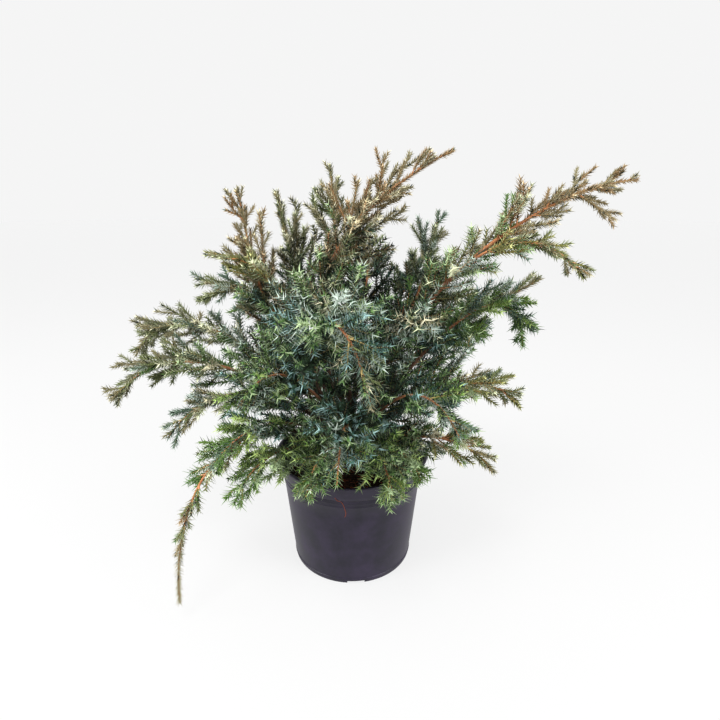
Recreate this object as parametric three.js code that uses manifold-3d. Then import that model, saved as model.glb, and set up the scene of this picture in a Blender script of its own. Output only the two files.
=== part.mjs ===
// A young flaky juniper in its plastic nursery pot.
//
// Lengths are in millimetres and angles in degrees, with +Z up. The origin is the centre of
// the pot's flat underside. Someone in front of the plant looks along +Y, with +X on their
// right. A limb is one smooth curve from the short stem to a branch tip: its first share is
// a bare bough, and the rest carries a mass of foliage.

import * as THREE from 'three';
import { mergeVertices } from 'three/addons/utils/BufferGeometryUtils.js';
import Module from 'manifold-3d';

const wasm = await Module();
wasm.setup();

// Clearances

const CLEAR = 0.3; // between two pieces that touch on the real plant
const SPACE_MARGIN = 1.0; // how much nearer its own limb a spray's corner lies than any other
const POT_MARGIN = 3; // between the foliage and the pot or the soil
const GROUND_MARGIN = 3; // between the foliage and the ground

// Pot and soil

const POT = {
  height: 143,
  rimRadius: 95,
  lipHeight: 4,
  lipDepth: 2.2,
  lipSlope: 1, // the lip's underside rises this much
  collarHeight: 20,
  collarRadius: 89.5,
  collarSlope: 1.5, // height of the step out to the collar
  bodyTopRadius: 87,
  footHeight: 7,
  footRadius: 75,
  baseRadius: 73.5,
  wall: 2.2,
  innerStep: 2, // how far the inside of the step lies under its outside
  floor: 6,
  sides: 32,
};

const DRAIN = {
  count: 4,
  turn: -86, // the first notch is a little right of the front
  notchWidth: 21,
  notchHeight: 3.5,
  innerReach: 52,
  holeRadius: 6,
  holeReach: 60,
  holeSides: 12,
};

const SOIL = {
  top: 122,
  edgeDrop: 2,
  flatRadius: 16,
  floorRise: 1, // how far the soil's underside lies over the pot's floor
  wallGap: 1, // between the soil and the pot's wall
};

// Stem

const STEM = {
  height: 62,
  footRadius: 8.5,
  topRadius: 4.5,
  sides: 8,
  rings: 3,
};

// Limbs

const LIMB_SIDES = 5; // corners of a bough's section
const TWIG_SIDES = 3; // corners of the section of the twig through a mass
const SPRAY_SIDES = 3; // corners of a spray's slim core
const BOUGH_RINGS = 3;
const SKELETON_STEPS = 14;
const TIP_GIRTH = 0.7; // radius of a limb at its tip
const ROOT_REACH = 4; // how far from the stem's axis a limb's curve starts

// Sprays: side shoots whose needles stand out of a slim core

const SPRAY = {
  pitch: 24, // distance between two sprays along the twig
  turn: 137.5, // turn from one spray to the next round the twig
  lean: 50, // angle to the twig
  leanPlay: 14,
  sideways: -0.3, // how strongly the turns are drawn to the twig's left and right
  bend: 0.3, // how far a spray curves forward, as a share of its length
  firstGap: 7, // bare twig before the first spray
  play: 0.5, // spread of the lengths round their mean
  tipLength: 0.3, // length near a limb's tip, as a share of its spread
  rootRadius: 0.4, // thin enough to start inside the twig
  coreRadius: 1.5,
  coreTipRadius: 0.7,
  bandLength: 27, // one ring of teeth to each band
  firstRing: 0.2, // where its teeth start, as a share of the length
  lastRing: 0.84, // where its pointed tip starts
  tooth: 0.37, // how far the longest teeth stand out, as a share of the length
  longestTooth: 24,
  toothTip: 0.5, // the last teeth, as a share of the longest
  shortest: 15,
};

const TWIG_BAND = 28; // one ring of corners to each band of the twig through a mass
const TWIG_TOOTH = 0.26; // its longest teeth, as a share of the limb's spread
const FACE_TAKEN = 0.3; // how squarely a spray leaves a face of the twig that it grows from
const TOOTH_FORWARD = 0.8; // how far a tooth leans forward, as a share of its height
const TRIALS = [1, 0.8, 0.6, 0.45]; // what doesn't fit is tried shorter, then left out

// Colours seen in the photograph

const COLOUR = {
  pot: '#3c3645',
  soil: '#3a2418',
  stem: '#7a5540',
  bough: '#8c5a3e',
  blue: '#7f9a98',
  silver: '#93a39c',
  sea: '#6c8d80',
  fresh: '#64814f',
  olive: '#8a9160',
  bronze: '#8d8670',
};

// root: height of the limb's start above the soil. leave, arrive: azimuth and elevation of
// its direction at the stem and at its tip. tip: azimuth, reach and height of its tip.
// bow: how strongly it bends. girth: radius at the stem. bare: share of the curve that is
// bough. spread: length of its longest sprays. spires: long side shoots, each with its
// place along the curve, azimuth, elevation and length. Azimuth 0 is the viewer's right
// and 90 is straight away from the viewer.
const LIMBS = [
  // Crown
  {
    name: 'crown_leader', root: 54, leave: [160, 66], tip: [10, 112, 493], arrive: [0, 28],
    bow: 0.5, girth: 3.6, bare: 0.27, spread: 62, tint: 'bronze',
    spires: [[0.66, 140, 58, 58], [0.78, 50, 76, 50], [0.6, 0, 28, 82], [0.5, 10, 20, 80]],
  },
  {
    name: 'crown_spire', root: 52, leave: [112, 80], tip: [112, 65, 479], arrive: [120, 82],
    bow: 0.42, girth: 3.0, bare: 0.27, spread: 68, tint: 'silver',
    spires: [[0.72, 170, 62, 62]],
  },
  {
    name: 'crown_left_spire', root: 48, leave: [150, 68], tip: [146, 106, 450],
    arrive: [140, 76], bow: 0.42, girth: 3.0, bare: 0.25, spread: 65, tint: 'silver',
    spires: [[0.6, 30, 74, 78], [0.68, 90, 84, 86]],
  },
  {
    name: 'crown_right_spire', root: 46, leave: [50, 58], tip: [42, 148, 426],
    arrive: [30, 84], bow: 0.42, girth: 2.8, bare: 0.23, spread: 65, tint: 'blue',
    spires: [[0.8, 170, 76, 54]],
  },
  {
    name: 'back', root: 44, leave: [88, 66], tip: [86, 200, 385], arrive: [100, 20],
    bow: 0.4, girth: 2.8, bare: 0.25, spread: 70, tint: 'blue', spires: [],
  },
  // Upper left
  {
    name: 'top_left_spire', root: 42, leave: [167, 50], tip: [167, 131, 454],
    arrive: [167, 84], bow: 0.42, girth: 3.0, bare: 0.25, spread: 65, tint: 'bronze',
    spires: [[0.7, 180, 64, 50], [0.62, 90, 84, 98]],
  },
  {
    name: 'top_left_arm', root: 38, leave: [176, 58], tip: [184, 158, 387],
    arrive: [190, 8], bow: 0.42, girth: 2.6, bare: 0.23, spread: 62, tint: 'olive',
    spires: [],
  },
  {
    name: 'top_left_low', root: 33, leave: [182, 62], tip: [177, 170, 327],
    arrive: [180, -50], bow: 0.42, girth: 2.4, bare: 0.23, spread: 60, tint: 'blue',
    spires: [],
  },
  // Right
  {
    name: 'right_leader', root: 44, leave: [16, 74], tip: [-3, 297, 461], arrive: [18, 3],
    bow: 0.35, girth: 3.8, bare: 0.29, spread: 50, tint: 'bronze',
    spires: [[0.68, 70, 72, 38], [0.8, 20, 48, 34], [0.84, 0, -32, 46]],
  },
  {
    name: 'right_under', root: 40, leave: [-6, 72], tip: [-13, 245, 366],
    arrive: [-1, -49], bow: 0.46, girth: 2.8, bare: 0.27, spread: 44, tint: 'olive',
    spires: [],
  },
  {
    name: 'right_mid', root: 36, leave: [18, 62], tip: [14, 242, 347], arrive: [10, 28],
    bow: 0.45, girth: 2.6, bare: 0.25, spread: 56, tint: 'blue', spires: [[0.5, 10, 72, 56]],
  },
  {
    name: 'right_nodding', root: 30, leave: [0, 60], tip: [3, 206, 274], arrive: [6, -82],
    bow: 0.55, girth: 2.4, bare: 0.25, spread: 46, tint: 'sea', spires: [],
  },
  {
    name: 'right_low', root: 24, leave: [-24, 46], tip: [-21, 192, 236],
    arrive: [-16, -35], bow: 0.4, girth: 2.2, bare: 0.25, spread: 50, tint: 'olive',
    spires: [[0.55, 0, 56, 66]],
  },
  {
    name: 'right_rim', root: 16, leave: [-34, 34], tip: [-30, 178, 163],
    arrive: [-26, -45], bow: 0.4, girth: 2.0, bare: 0, spread: 55, tint: 'olive',
    spires: [],
  },
  {
    name: 'rim_right_drop', root: 9, leave: [-46, 38], tip: [-50, 118, 150],
    arrive: [-50, -70], bow: 0.42, girth: 1.8, bare: 0, spread: 40, tint: 'fresh',
    spires: [],
  },
  // Front
  {
    name: 'front_high', root: 48, leave: [-95, 74], tip: [-93, 190, 346],
    arrive: [-90, -15], bow: 0.42, girth: 2.6, bare: 0.29, spread: 68, tint: 'silver',
    spires: [],
  },
  {
    name: 'front_nodding', root: 40, leave: [-150, 50], tip: [-86, 241, 307],
    arrive: [-20, -78], bow: 0.48, girth: 2.4, bare: 0.29, spread: 57, tint: 'blue',
    spires: [],
  },
  {
    name: 'front_right_high', root: 38, leave: [-60, 66], tip: [-57, 144, 328],
    arrive: [-50, 0], bow: 0.4, girth: 2.4, bare: 0.27, spread: 68, tint: 'blue',
    spires: [],
  },
  {
    name: 'front_left_mid', root: 30, leave: [-122, 56], tip: [-124, 180, 262],
    arrive: [-117, -40], bow: 0.42, girth: 2.2, bare: 0, spread: 65, tint: 'sea',
    spires: [],
  },
  {
    name: 'front_mid', root: 22, leave: [-92, 46], tip: [-93, 190, 208],
    arrive: [-94, -45], bow: 0.42, girth: 2.0, bare: 0, spread: 62, tint: 'sea',
    spires: [],
  },
  {
    name: 'front_right_mid', root: 26, leave: [-58, 54], tip: [-58, 188, 238],
    arrive: [-60, -45], bow: 0.42, girth: 2.0, bare: 0, spread: 62, tint: 'sea',
    spires: [],
  },
  {
    name: 'front_right_skirt', root: 10, leave: [-76, 35], tip: [-74, 156, 165],
    arrive: [-74, -55], bow: 0.42, girth: 1.8, bare: 0, spread: 52, tint: 'fresh',
    spires: [],
  },
  {
    name: 'front_left_skirt', root: 9, leave: [-107, 35], tip: [-107, 147, 164],
    arrive: [-107, -55], bow: 0.42, girth: 1.8, bare: 0, spread: 52, tint: 'fresh',
    spires: [],
  },
  {
    name: 'front_left_low', root: 15, leave: [-142, 50], tip: [-138, 186, 188],
    arrive: [-138, -45], bow: 0.42, girth: 2.0, bare: 0, spread: 56, tint: 'sea',
    spires: [],
  },
  // Left
  {
    name: 'left_skirt', root: 11, leave: [-134, 38], tip: [-132, 174, 150],
    arrive: [-132, -60], bow: 0.42, girth: 1.9, bare: 0, spread: 44, tint: 'fresh',
    spires: [],
  },
  {
    name: 'left_whip', root: 18, leave: [-155, 40], tip: [-145, 227, 26],
    arrive: [-145, -88], bow: 0.65, girth: 2.2, bare: 0.36, spread: 22, tint: 'bronze',
    spires: [],
  },
  {
    name: 'left_low', root: 23, leave: [-168, 52], tip: [-155, 212, 203],
    arrive: [-155, -52], bow: 0.45, girth: 2.2, bare: 0, spread: 50, tint: 'blue',
    spires: [],
  },
  {
    name: 'left_leader', root: 29, leave: [-178, 45], tip: [-172, 273, 226],
    arrive: [-168, -50], bow: 0.42, girth: 2.8, bare: 0.27, spread: 56, tint: 'silver',
    spires: [],
  },
  {
    name: 'left_mid', root: 34, leave: [170, 50], tip: [176, 265, 260], arrive: [178, -60],
    bow: 0.42, girth: 2.6, bare: 0.25, spread: 54, tint: 'silver', spires: [],
  },
  // Back
  {
    name: 'back_left', root: 34, leave: [138, 50], tip: [138, 222, 300],
    arrive: [138, -10], bow: 0.4, girth: 2.6, bare: 0.25, spread: 70, tint: 'sea',
    spires: [],
  },
  {
    name: 'back_right', root: 40, leave: [60, 58], tip: [60, 225, 368], arrive: [60, 25],
    bow: 0.4, girth: 2.6, bare: 0.25, spread: 70, tint: 'blue', spires: [],
  },
  {
    name: 'back_low_right', root: 24, leave: [38, 42], tip: [38, 250, 250],
    arrive: [38, -30], bow: 0.4, girth: 2.4, bare: 0, spread: 68, tint: 'sea',
    spires: [],
  },
  {
    name: 'back_low', root: 20, leave: [86, 42], tip: [86, 235, 225], arrive: [86, -35],
    bow: 0.4, girth: 2.2, bare: 0, spread: 68, tint: 'sea', spires: [],
  },
  {
    name: 'back_low_left', root: 22, leave: [124, 42], tip: [124, 240, 215],
    arrive: [124, -35], bow: 0.4, girth: 2.2, bare: 0, spread: 68, tint: 'fresh',
    spires: [],
  },
  {
    name: 'back_left_skirt', root: 11, leave: [112, 36], tip: [110, 158, 166],
    arrive: [110, -52], bow: 0.42, girth: 1.8, bare: 0, spread: 50, tint: 'fresh',
    spires: [],
  },
  {
    name: 'back_right_skirt', root: 10, leave: [62, 36], tip: [64, 160, 168],
    arrive: [64, -52], bow: 0.42, girth: 1.8, bare: 0, spread: 50, tint: 'sea',
    spires: [],
  },
];

// Solids

// The same number between 0 and 1 for the same limb, shoot and use, every time.
function chance(limb, shoot, use) {
  const value = Math.sin(limb * 12.9898 + shoot * 78.233 + use * 37.719 + 4.1) * 43758.5453;
  return value - Math.floor(value);
}

function mix(from, to, share) {
  return from + (to - from) * share;
}

function direction(azimuth, elevation) {
  const around = THREE.MathUtils.degToRad(azimuth);
  const above = THREE.MathUtils.degToRad(elevation);
  const level = Math.cos(above);
  return new THREE.Vector3(level * Math.cos(around), level * Math.sin(around), Math.sin(above));
}

function signedVolume(points, faces) {
  const volumes = faces.map(([a, b, c]) => {
    const cross = new THREE.Vector3().crossVectors(points[b], points[c]);
    return points[a].dot(cross) / 6;
  });
  return volumes.reduce((sum, volume) => sum + volume, 0);
}

// A manifold solid from corners and triangles.
function solidFrom(points, faces) {
  const vertProperties = new Float32Array(points.flatMap((point) => point.toArray()));
  const triVerts = new Uint32Array(faces.flat());
  return new wasm.Manifold(new wasm.Mesh({ numProp: 3, vertProperties, triVerts }));
}

// Corners and triangles of a three.js geometry with its shared corners merged.
function mergedParts(geometry) {
  geometry.deleteAttribute('normal');
  geometry.deleteAttribute('uv');
  const merged = mergeVertices(geometry);
  const position = merged.getAttribute('position');
  const points = [];
  for (let i = 0; i < position.count; i += 1) {
    points.push(new THREE.Vector3().fromBufferAttribute(position, i));
  }
  const faces = [];
  for (let i = 0; i < merged.index.count; i += 3) {
    const face = [0, 1, 2].map((corner) => merged.index.getX(i + corner));
    if (new Set(face).size === 3) {
      faces.push(face);
    }
  }
  const outward = signedVolume(points, faces) > 0;
  return [points, outward ? faces : faces.map(([a, b, c]) => [a, c, b])];
}

// A solid of revolution about Z from [radius, height] pairs that start and end on the axis.
function revolved(profile, sides) {
  const outline = profile.map(([radius, height]) => new THREE.Vector2(radius, height));
  const geometry = new THREE.LatheGeometry(outline, sides);
  geometry.rotateX(Math.PI / 2);
  return solidFrom(...mergedParts(geometry));
}

function placedSolid(geometry, matrix) {
  geometry.applyMatrix4(matrix);
  return solidFrom(...mergedParts(geometry));
}

// The largest shell of a solid. A hollow that joining sealed is filled, and a loose scrap
// is dropped.
function largestShell(solid) {
  const mesh = solid.getMesh();
  const stride = mesh.numProp;
  const points = [];
  for (let i = 0; i < mesh.vertProperties.length; i += stride) {
    points.push(new THREE.Vector3().fromArray(mesh.vertProperties, i));
  }
  const owner = points.map((_, index) => index);
  const find = (index) => {
    let root = index;
    while (owner[root] !== root) {
      owner[root] = owner[owner[root]];
      root = owner[root];
    }
    return root;
  };
  const faces = [];
  for (let i = 0; i < mesh.triVerts.length; i += 3) {
    const face = Array.from(mesh.triVerts.slice(i, i + 3));
    owner[find(face[0])] = find(face[1]);
    owner[find(face[1])] = find(face[2]);
    faces.push(face);
  }
  const shells = new Map();
  for (const face of faces) {
    const root = find(face[0]);
    shells.set(root, [...(shells.get(root) ?? []), face]);
  }
  const bySize = [...shells.values()].sort(
    (one, other) => signedVolume(points, other) - signedVolume(points, one),
  );
  const kept = bySize[0];
  const used = [...new Set(kept.flat())];
  const renumbered = new Map(used.map((old, index) => [old, index]));
  return [
    used.map((old) => points[old]),
    kept.map((face) => face.map((corner) => renumbered.get(corner))),
  ];
}

function bodyMesh(name, solid, colour, roughness) {
  const [points, faces] = largestShell(solid);
  const geometry = new THREE.BufferGeometry();
  const flat = new Float32Array(points.flatMap((point) => point.toArray()));
  geometry.setAttribute('position', new THREE.BufferAttribute(flat, 3));
  geometry.setIndex(faces.flat());
  geometry.computeVertexNormals();
  const material = new THREE.MeshStandardMaterial({
    color: colour,
    roughness,
    metalness: 0,
    flatShading: true,
  });
  const mesh = new THREE.Mesh(geometry, material);
  mesh.name = name;
  return mesh;
}

// Curves

// A limb's curve as a point and a unit tangent for each share of its length.
function limbCurve(limb) {
  const [azimuth, reach, height] = limb.tip;
  const start = direction(limb.leave[0], 0).multiplyScalar(ROOT_REACH);
  start.z = SOIL.top + limb.root;
  const end = direction(azimuth, 0).multiplyScalar(reach);
  end.z = height;
  const pull = start.distanceTo(end) * limb.bow;
  const first = direction(...limb.leave).multiplyScalar(pull).add(start);
  const second = direction(...limb.arrive).multiplyScalar(-pull).add(end);
  return new THREE.CubicBezierCurve3(start, first, second, end);
}

// The tangents come from the curve itself, so that two pieces which meet on it are parallel.
function pathAlong(curve, shares) {
  return shares.map((share) => ({
    point: curve.getPoint(share),
    tangent: curve.getTangent(share),
  }));
}

function evenShares(from, to, steps) {
  return Array.from({ length: steps + 1 }, (_, index) => mix(from, to, index / steps));
}

// A path that starts along one direction and bends towards another.
function bentPath(start, heading, towards, length, shares) {
  const turn = towards.clone().multiplyScalar(SPRAY.bend);
  return shares.map((share) => ({
    point: start.clone()
      .addScaledVector(heading, length * share)
      .addScaledVector(turn, length * share * share),
    tangent: heading.clone().addScaledVector(turn, 2 * share).normalize(),
  }));
}

// A cross direction for each path point, carried along the path without twist.
function crossDirections(path) {
  const first = path[0].tangent;
  const seed = Math.abs(first.z) < 0.9 ? new THREE.Vector3(0, 0, 1) : new THREE.Vector3(1, 0, 0);
  let side = new THREE.Vector3().crossVectors(first, seed).normalize();
  return path.map(({ tangent }) => {
    side = side.clone().addScaledVector(tangent, -side.dot(tangent)).normalize();
    return { side, up: new THREE.Vector3().crossVectors(tangent, side) };
  });
}

// Outward from a path point, at a corner of its section or between two corners.
function outward({ side, up }, corner, sides) {
  const angle = (2 * Math.PI * corner) / sides;
  return side.clone().multiplyScalar(Math.cos(angle)).addScaledVector(up, Math.sin(angle));
}

// The point of a tooth that stands out and forward from one face of a band.
function toothPoint(path, frames, band, corner, sides, height) {
  return path[band].point.clone().lerp(path[band + 1].point, 0.5)
    .addScaledVector(outward(frames[band], corner + 0.5, sides), height)
    .addScaledVector(path[band + 1].tangent, height * TOOTH_FORWARD);
}

// Corners and triangles of a core along a path. teeth holds a row for each band, with the
// height of the tooth on each of its faces, or nothing where the core is plain. The root is
// flat, and the tip is flat too unless a point is given for it.
function coreParts(path, radii, teeth, sides, tip) {
  const frames = crossDirections(path);
  const points = [];
  const faces = [];
  path.forEach(({ point }, index) => {
    for (let corner = 0; corner < sides; corner += 1) {
      points.push(outward(frames[index], corner, sides).multiplyScalar(radii[index]).add(point));
    }
  });
  for (let band = 0; band < path.length - 1; band += 1) {
    for (let corner = 0; corner < sides; corner += 1) {
      const height = teeth[band]?.[corner] ?? 0;
      const a = band * sides + corner;
      const b = band * sides + ((corner + 1) % sides);
      const c = b + sides;
      const d = a + sides;
      if (height > 0) {
        const top = points.push(toothPoint(path, frames, band, corner, sides, height)) - 1;
        faces.push([a, b, top], [b, c, top], [c, d, top], [d, a, top]);
      } else {
        faces.push([a, b, c], [a, c, d]);
      }
    }
  }
  for (let corner = 1; corner < sides - 1; corner += 1) {
    faces.push([0, corner + 1, corner]);
  }
  const last = (path.length - 1) * sides;
  if (tip) {
    const top = points.push(tip) - 1;
    for (let corner = 0; corner < sides; corner += 1) {
      faces.push([last + corner, last + ((corner + 1) % sides), top]);
    }
  } else {
    for (let corner = 1; corner < sides - 1; corner += 1) {
      faces.push([last, last + corner, last + corner + 1]);
    }
  }
  return [points, faces];
}

// Space: each mass keeps to the points that are nearer its own limb than any other

function limbGirth(limb, share) {
  return mix(limb.girth, TIP_GIRTH, share);
}

function spirePath(curve, [share, azimuth, elevation, length], shares) {
  const heading = direction(azimuth, elevation);
  return bentPath(curve.getPoint(share), heading, new THREE.Vector3(0, 0, 0), length, shares);
}

// The lines that stand for a limb when distances are measured.
function skeleton(limb) {
  const curve = limbCurve(limb);
  const main = evenShares(0, 1, SKELETON_STEPS).map((share) => curve.getPoint(share));
  const spires = limb.spires.map((spire) => (
    spirePath(curve, spire, [0, 1]).map(({ point }) => point)
  ));
  return [main, ...spires];
}

const SKELETONS = LIMBS.map(skeleton);

function distanceToLine(point, line) {
  let nearest = Infinity;
  for (let i = 0; i < line.length - 1; i += 1) {
    const segment = new THREE.Line3(line[i], line[i + 1]);
    const closest = segment.closestPointToPoint(point, true, new THREE.Vector3());
    nearest = Math.min(nearest, closest.distanceTo(point));
  }
  return nearest;
}

function distanceToLimb(point, index) {
  return Math.min(...SKELETONS[index].map((line) => distanceToLine(point, line)));
}

function clearOfPot(point) {
  const radius = Math.hypot(point.x, point.y);
  const inside = radius < POT.bodyTopRadius - POT.wall - POT_MARGIN;
  const floor = inside ? SOIL.top : POT.height;
  const over = point.z > floor + POT_MARGIN;
  const beside = radius > POT.rimRadius + POT_MARGIN && point.z > GROUND_MARGIN;
  return over || beside;
}

function clearOfStem(point) {
  const top = SOIL.top + STEM.height + POT_MARGIN;
  return point.z > top || Math.hypot(point.x, point.y) > STEM.footRadius + POT_MARGIN;
}

function inSpace(point, index) {
  if (!clearOfPot(point) || !clearOfStem(point)) {
    return false;
  }
  const own = distanceToLimb(point, index);
  return LIMBS.every((limb, other) => (
    other === index || distanceToLimb(point, other) > own + SPACE_MARGIN
  ));
}

// Stem and boughs

function stemSolid(grown) {
  const foot = SOIL.top + CLEAR - grown;
  const path = evenShares(0, 1, STEM.rings).map((share) => ({
    point: new THREE.Vector3(0, 0, mix(foot, SOIL.top + STEM.height + grown, share)),
    tangent: new THREE.Vector3(0, 0, 1),
  }));
  const radii = evenShares(STEM.footRadius, STEM.topRadius, STEM.rings)
    .map((radius) => radius + grown);
  return solidFrom(...coreParts(path, radii, [], STEM.sides));
}

// A bough from the stem's axis to the place where its foliage begins.
function boughSolid(limb, grown) {
  const path = pathAlong(limbCurve(limb), evenShares(0, limb.bare, BOUGH_RINGS));
  const radii = evenShares(0, limb.bare, BOUGH_RINGS)
    .map((share) => limbGirth(limb, share) + grown);
  return solidFrom(...coreParts(path, radii, [], LIMB_SIDES));
}

// Foliage

// The shares of a limb's curve at which the twig through its mass has a ring of corners.
function twigShares(limb, curve) {
  const bands = Math.max(4, Math.round((curve.getLength() * (1 - limb.bare)) / TWIG_BAND));
  return evenShares(limb.bare, 1, bands);
}

// A point on the straight stretches between those rings.
function twigPoint(limb, curve, share) {
  const shares = twigShares(limb, curve);
  const next = Math.max(1, shares.findIndex((ring) => ring >= share));
  const along = (share - shares[next - 1]) / (shares[next] - shares[next - 1]);
  return curve.getPoint(shares[next - 1]).lerp(curve.getPoint(shares[next]), along);
}

// The height of a tooth on the twig: shorter where the full one would leave the limb's space.
function fittedTooth(path, frames, band, corner, height, index) {
  const fitting = TRIALS.map((trial) => trial * height).find((tried) => (
    inSpace(toothPoint(path, frames, band, corner, TWIG_SIDES, tried), index)
  ));
  return fitting ?? 0;
}

// The twig through a mass. It starts clear of its bough, and it has a tooth on each face
// that no spray grows from.
function twigSolid(limb, index, sprays) {
  const curve = limbCurve(limb);
  const shares = twigShares(limb, curve);
  const path = pathAlong(curve, shares);
  if (limb.bare > 0) {
    path[0].point.addScaledVector(path[0].tangent, CLEAR);
  }
  const frames = crossDirections(path);
  const tip = path.pop().point;
  const radii = path.map((_, ring) => limbGirth(limb, shares[ring]));
  const teeth = path.slice(1).map((_, band) => {
    const rooted = sprays.filter(({ share }) => share >= shares[band] && share < shares[band + 1]);
    const along = band / (path.length - 1);
    const height = TWIG_TOOTH * limb.spread * mix(1, SPRAY.toothTip, along);
    return Array.from({ length: TWIG_SIDES }, (__, corner) => {
      const face = outward(frames[band], corner + 0.5, TWIG_SIDES);
      const taken = rooted.some(({ heading }) => heading.dot(face) > FACE_TAKEN);
      return taken ? 0 : fittedTooth(path, frames, band, corner, height, index);
    });
  });
  return solidFrom(...coreParts(path, radii, teeth, TWIG_SIDES, tip));
}

function sprayParts(start, heading, towards, length) {
  const bands = Math.max(2, Math.round(length / SPRAY.bandLength));
  const shares = [0, ...evenShares(SPRAY.firstRing, SPRAY.lastRing, bands), 1];
  const path = bentPath(start, heading, towards, length, shares);
  const tip = path.pop().point;
  const radii = path.map((_, index) => (
    index === 0 ? SPRAY.rootRadius : mix(SPRAY.coreRadius, SPRAY.coreTipRadius, shares[index])
  ));
  const longest = Math.min(SPRAY.longestTooth, SPRAY.tooth * length);
  const teeth = evenShares(longest, longest * SPRAY.toothTip, bands - 1)
    .map((height) => Array(SPRAY_SIDES).fill(height));
  return coreParts(path, radii, [[], ...teeth], SPRAY_SIDES, tip);
}

// A turn round the twig, drawn towards its two sides, where a juniper's shoots spread most.
function sideways(turn) {
  return turn + SPRAY.sideways * Math.sin(2 * turn);
}

// Side shoots along a limb: where each starts, where it heads and how long it is.
function shootsAlong(limb, index) {
  const curve = limbCurve(limb);
  const total = curve.getLength();
  const from = limb.bare + SPRAY.firstGap / total;
  const count = Math.floor((total * (1 - from)) / SPRAY.pitch);
  const roll = 360 * chance(index, 0, 1);
  return Array.from({ length: count }, (_, shoot) => {
    const step = (shoot + 0.6 * chance(index, shoot, 2)) / count;
    const share = mix(from, 1, step);
    const tangent = curve.getTangent(share);
    const { side, up } = crossDirections([{ tangent }])[0];
    const turn = sideways(THREE.MathUtils.degToRad(roll + SPRAY.turn * shoot));
    const lean = THREE.MathUtils.degToRad(
      SPRAY.lean + SPRAY.leanPlay * (chance(index, shoot, 3) - 0.5),
    );
    const heading = tangent.clone().multiplyScalar(Math.cos(lean))
      .addScaledVector(side, Math.sin(lean) * Math.cos(turn))
      .addScaledVector(up, Math.sin(lean) * Math.sin(turn));
    const profile = mix(1, SPRAY.tipLength, step * step);
    const play = 1 + SPRAY.play * (chance(index, shoot, 4) - 0.5);
    return {
      share,
      start: twigPoint(limb, curve, share),
      heading,
      towards: tangent,
      length: limb.spread * profile * play,
    };
  });
}

function overlap(one, other) {
  return one.intersect(other).getMesh().triVerts.length > 0;
}

// The spray at its full length, or shorter where the full one would leave the limb's space
// or run into a spray that is already there.
function fittedSpray(shoot, index, placed) {
  for (const trial of TRIALS) {
    const length = shoot.length * trial;
    if (length < SPRAY.shortest) {
      return null;
    }
    const parts = sprayParts(shoot.start, shoot.heading, shoot.towards, length);
    const outer = parts[0].slice(SPRAY_SIDES);
    if (outer.every((point) => inSpace(point, index))) {
      const spray = solidFrom(...parts);
      if (!placed.some(({ solid }) => overlap(solid, spray))) {
        return spray;
      }
    }
  }
  return null;
}

function foliageSolid(limb, index) {
  const curve = limbCurve(limb);
  const spires = limb.spires.map(([share, azimuth, elevation, length]) => ({
    share,
    start: twigPoint(limb, curve, share),
    heading: direction(azimuth, elevation),
    towards: new THREE.Vector3(0, 0, 0),
    length,
  }));
  const sprays = [];
  for (const shoot of [...spires, ...shootsAlong(limb, index)]) {
    const solid = fittedSpray(shoot, index, sprays);
    if (solid) {
      sprays.push({ ...shoot, solid });
    }
  }
  return sprays.reduce(
    (mass, { solid }) => mass.add(solid),
    twigSolid(limb, index, sprays),
  );
}

// Pot

function potSolid() {
  const bodyTop = POT.height - POT.collarHeight;
  const under = POT.height - POT.lipHeight;
  const lipInner = POT.rimRadius - POT.lipDepth - POT.wall;
  const outline = [
    [0, 0],
    [POT.baseRadius, 0],
    [POT.footRadius, POT.footHeight],
    [POT.bodyTopRadius, bodyTop],
    [POT.collarRadius, bodyTop + POT.collarSlope],
    [POT.rimRadius - POT.lipDepth, under],
    [POT.rimRadius, under + POT.lipSlope],
    [POT.rimRadius, POT.height],
    [lipInner, POT.height],
    [POT.bodyTopRadius - POT.wall, bodyTop - POT.innerStep],
    [POT.footRadius - POT.wall, POT.footHeight],
    [0, POT.floor],
  ];
  const turns = Array.from({ length: DRAIN.count }, (_, index) => (
    THREE.MathUtils.degToRad(DRAIN.turn + (360 * index) / DRAIN.count)
  ));
  const notchLength = POT.footRadius + DRAIN.notchHeight - DRAIN.innerReach;
  return turns.reduce((pot, turn) => {
    const about = new THREE.Matrix4().makeRotationZ(turn);
    const notch = placedSolid(
      new THREE.BoxGeometry(notchLength, DRAIN.notchWidth, 2 * DRAIN.notchHeight),
      about.clone().multiply(
        new THREE.Matrix4().makeTranslation(DRAIN.innerReach + notchLength / 2, 0, 0),
      ),
    );
    const hole = placedSolid(
      new THREE.CylinderGeometry(
        DRAIN.holeRadius, DRAIN.holeRadius, 4 * POT.floor, DRAIN.holeSides,
      ).rotateX(Math.PI / 2),
      about.clone().multiply(new THREE.Matrix4().makeTranslation(DRAIN.holeReach, 0, 0)),
    );
    return pot.subtract(notch).subtract(hole);
  }, revolved(outline, POT.sides));
}

// Potting soil, filling the pot up to a little under its collar.
function soilSolid() {
  const gap = POT.wall + SOIL.wallGap + 2 * CLEAR;
  const floor = POT.floor + SOIL.floorRise + CLEAR;
  const edge = SOIL.top - SOIL.edgeDrop;
  const bodyTop = POT.height - POT.collarHeight;
  const widen = (POT.bodyTopRadius - POT.footRadius) / (bodyTop - POT.footHeight);
  const radiusAt = (height) => POT.footRadius - gap + widen * (height - POT.footHeight);
  return revolved([
    [0, floor],
    [radiusAt(floor), floor],
    [radiusAt(edge), edge],
    [SOIL.flatRadius, SOIL.top],
    [0, SOIL.top],
  ], POT.sides);
}

// The plant in its pot

const plant = new THREE.Group();
plant.add(bodyMesh('pot', potSolid(), COLOUR.pot, 0.45));
plant.add(bodyMesh('potting_soil', soilSolid(), COLOUR.soil, 0.95));
plant.add(bodyMesh('stem', stemSolid(0), COLOUR.stem, 0.85));

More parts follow.
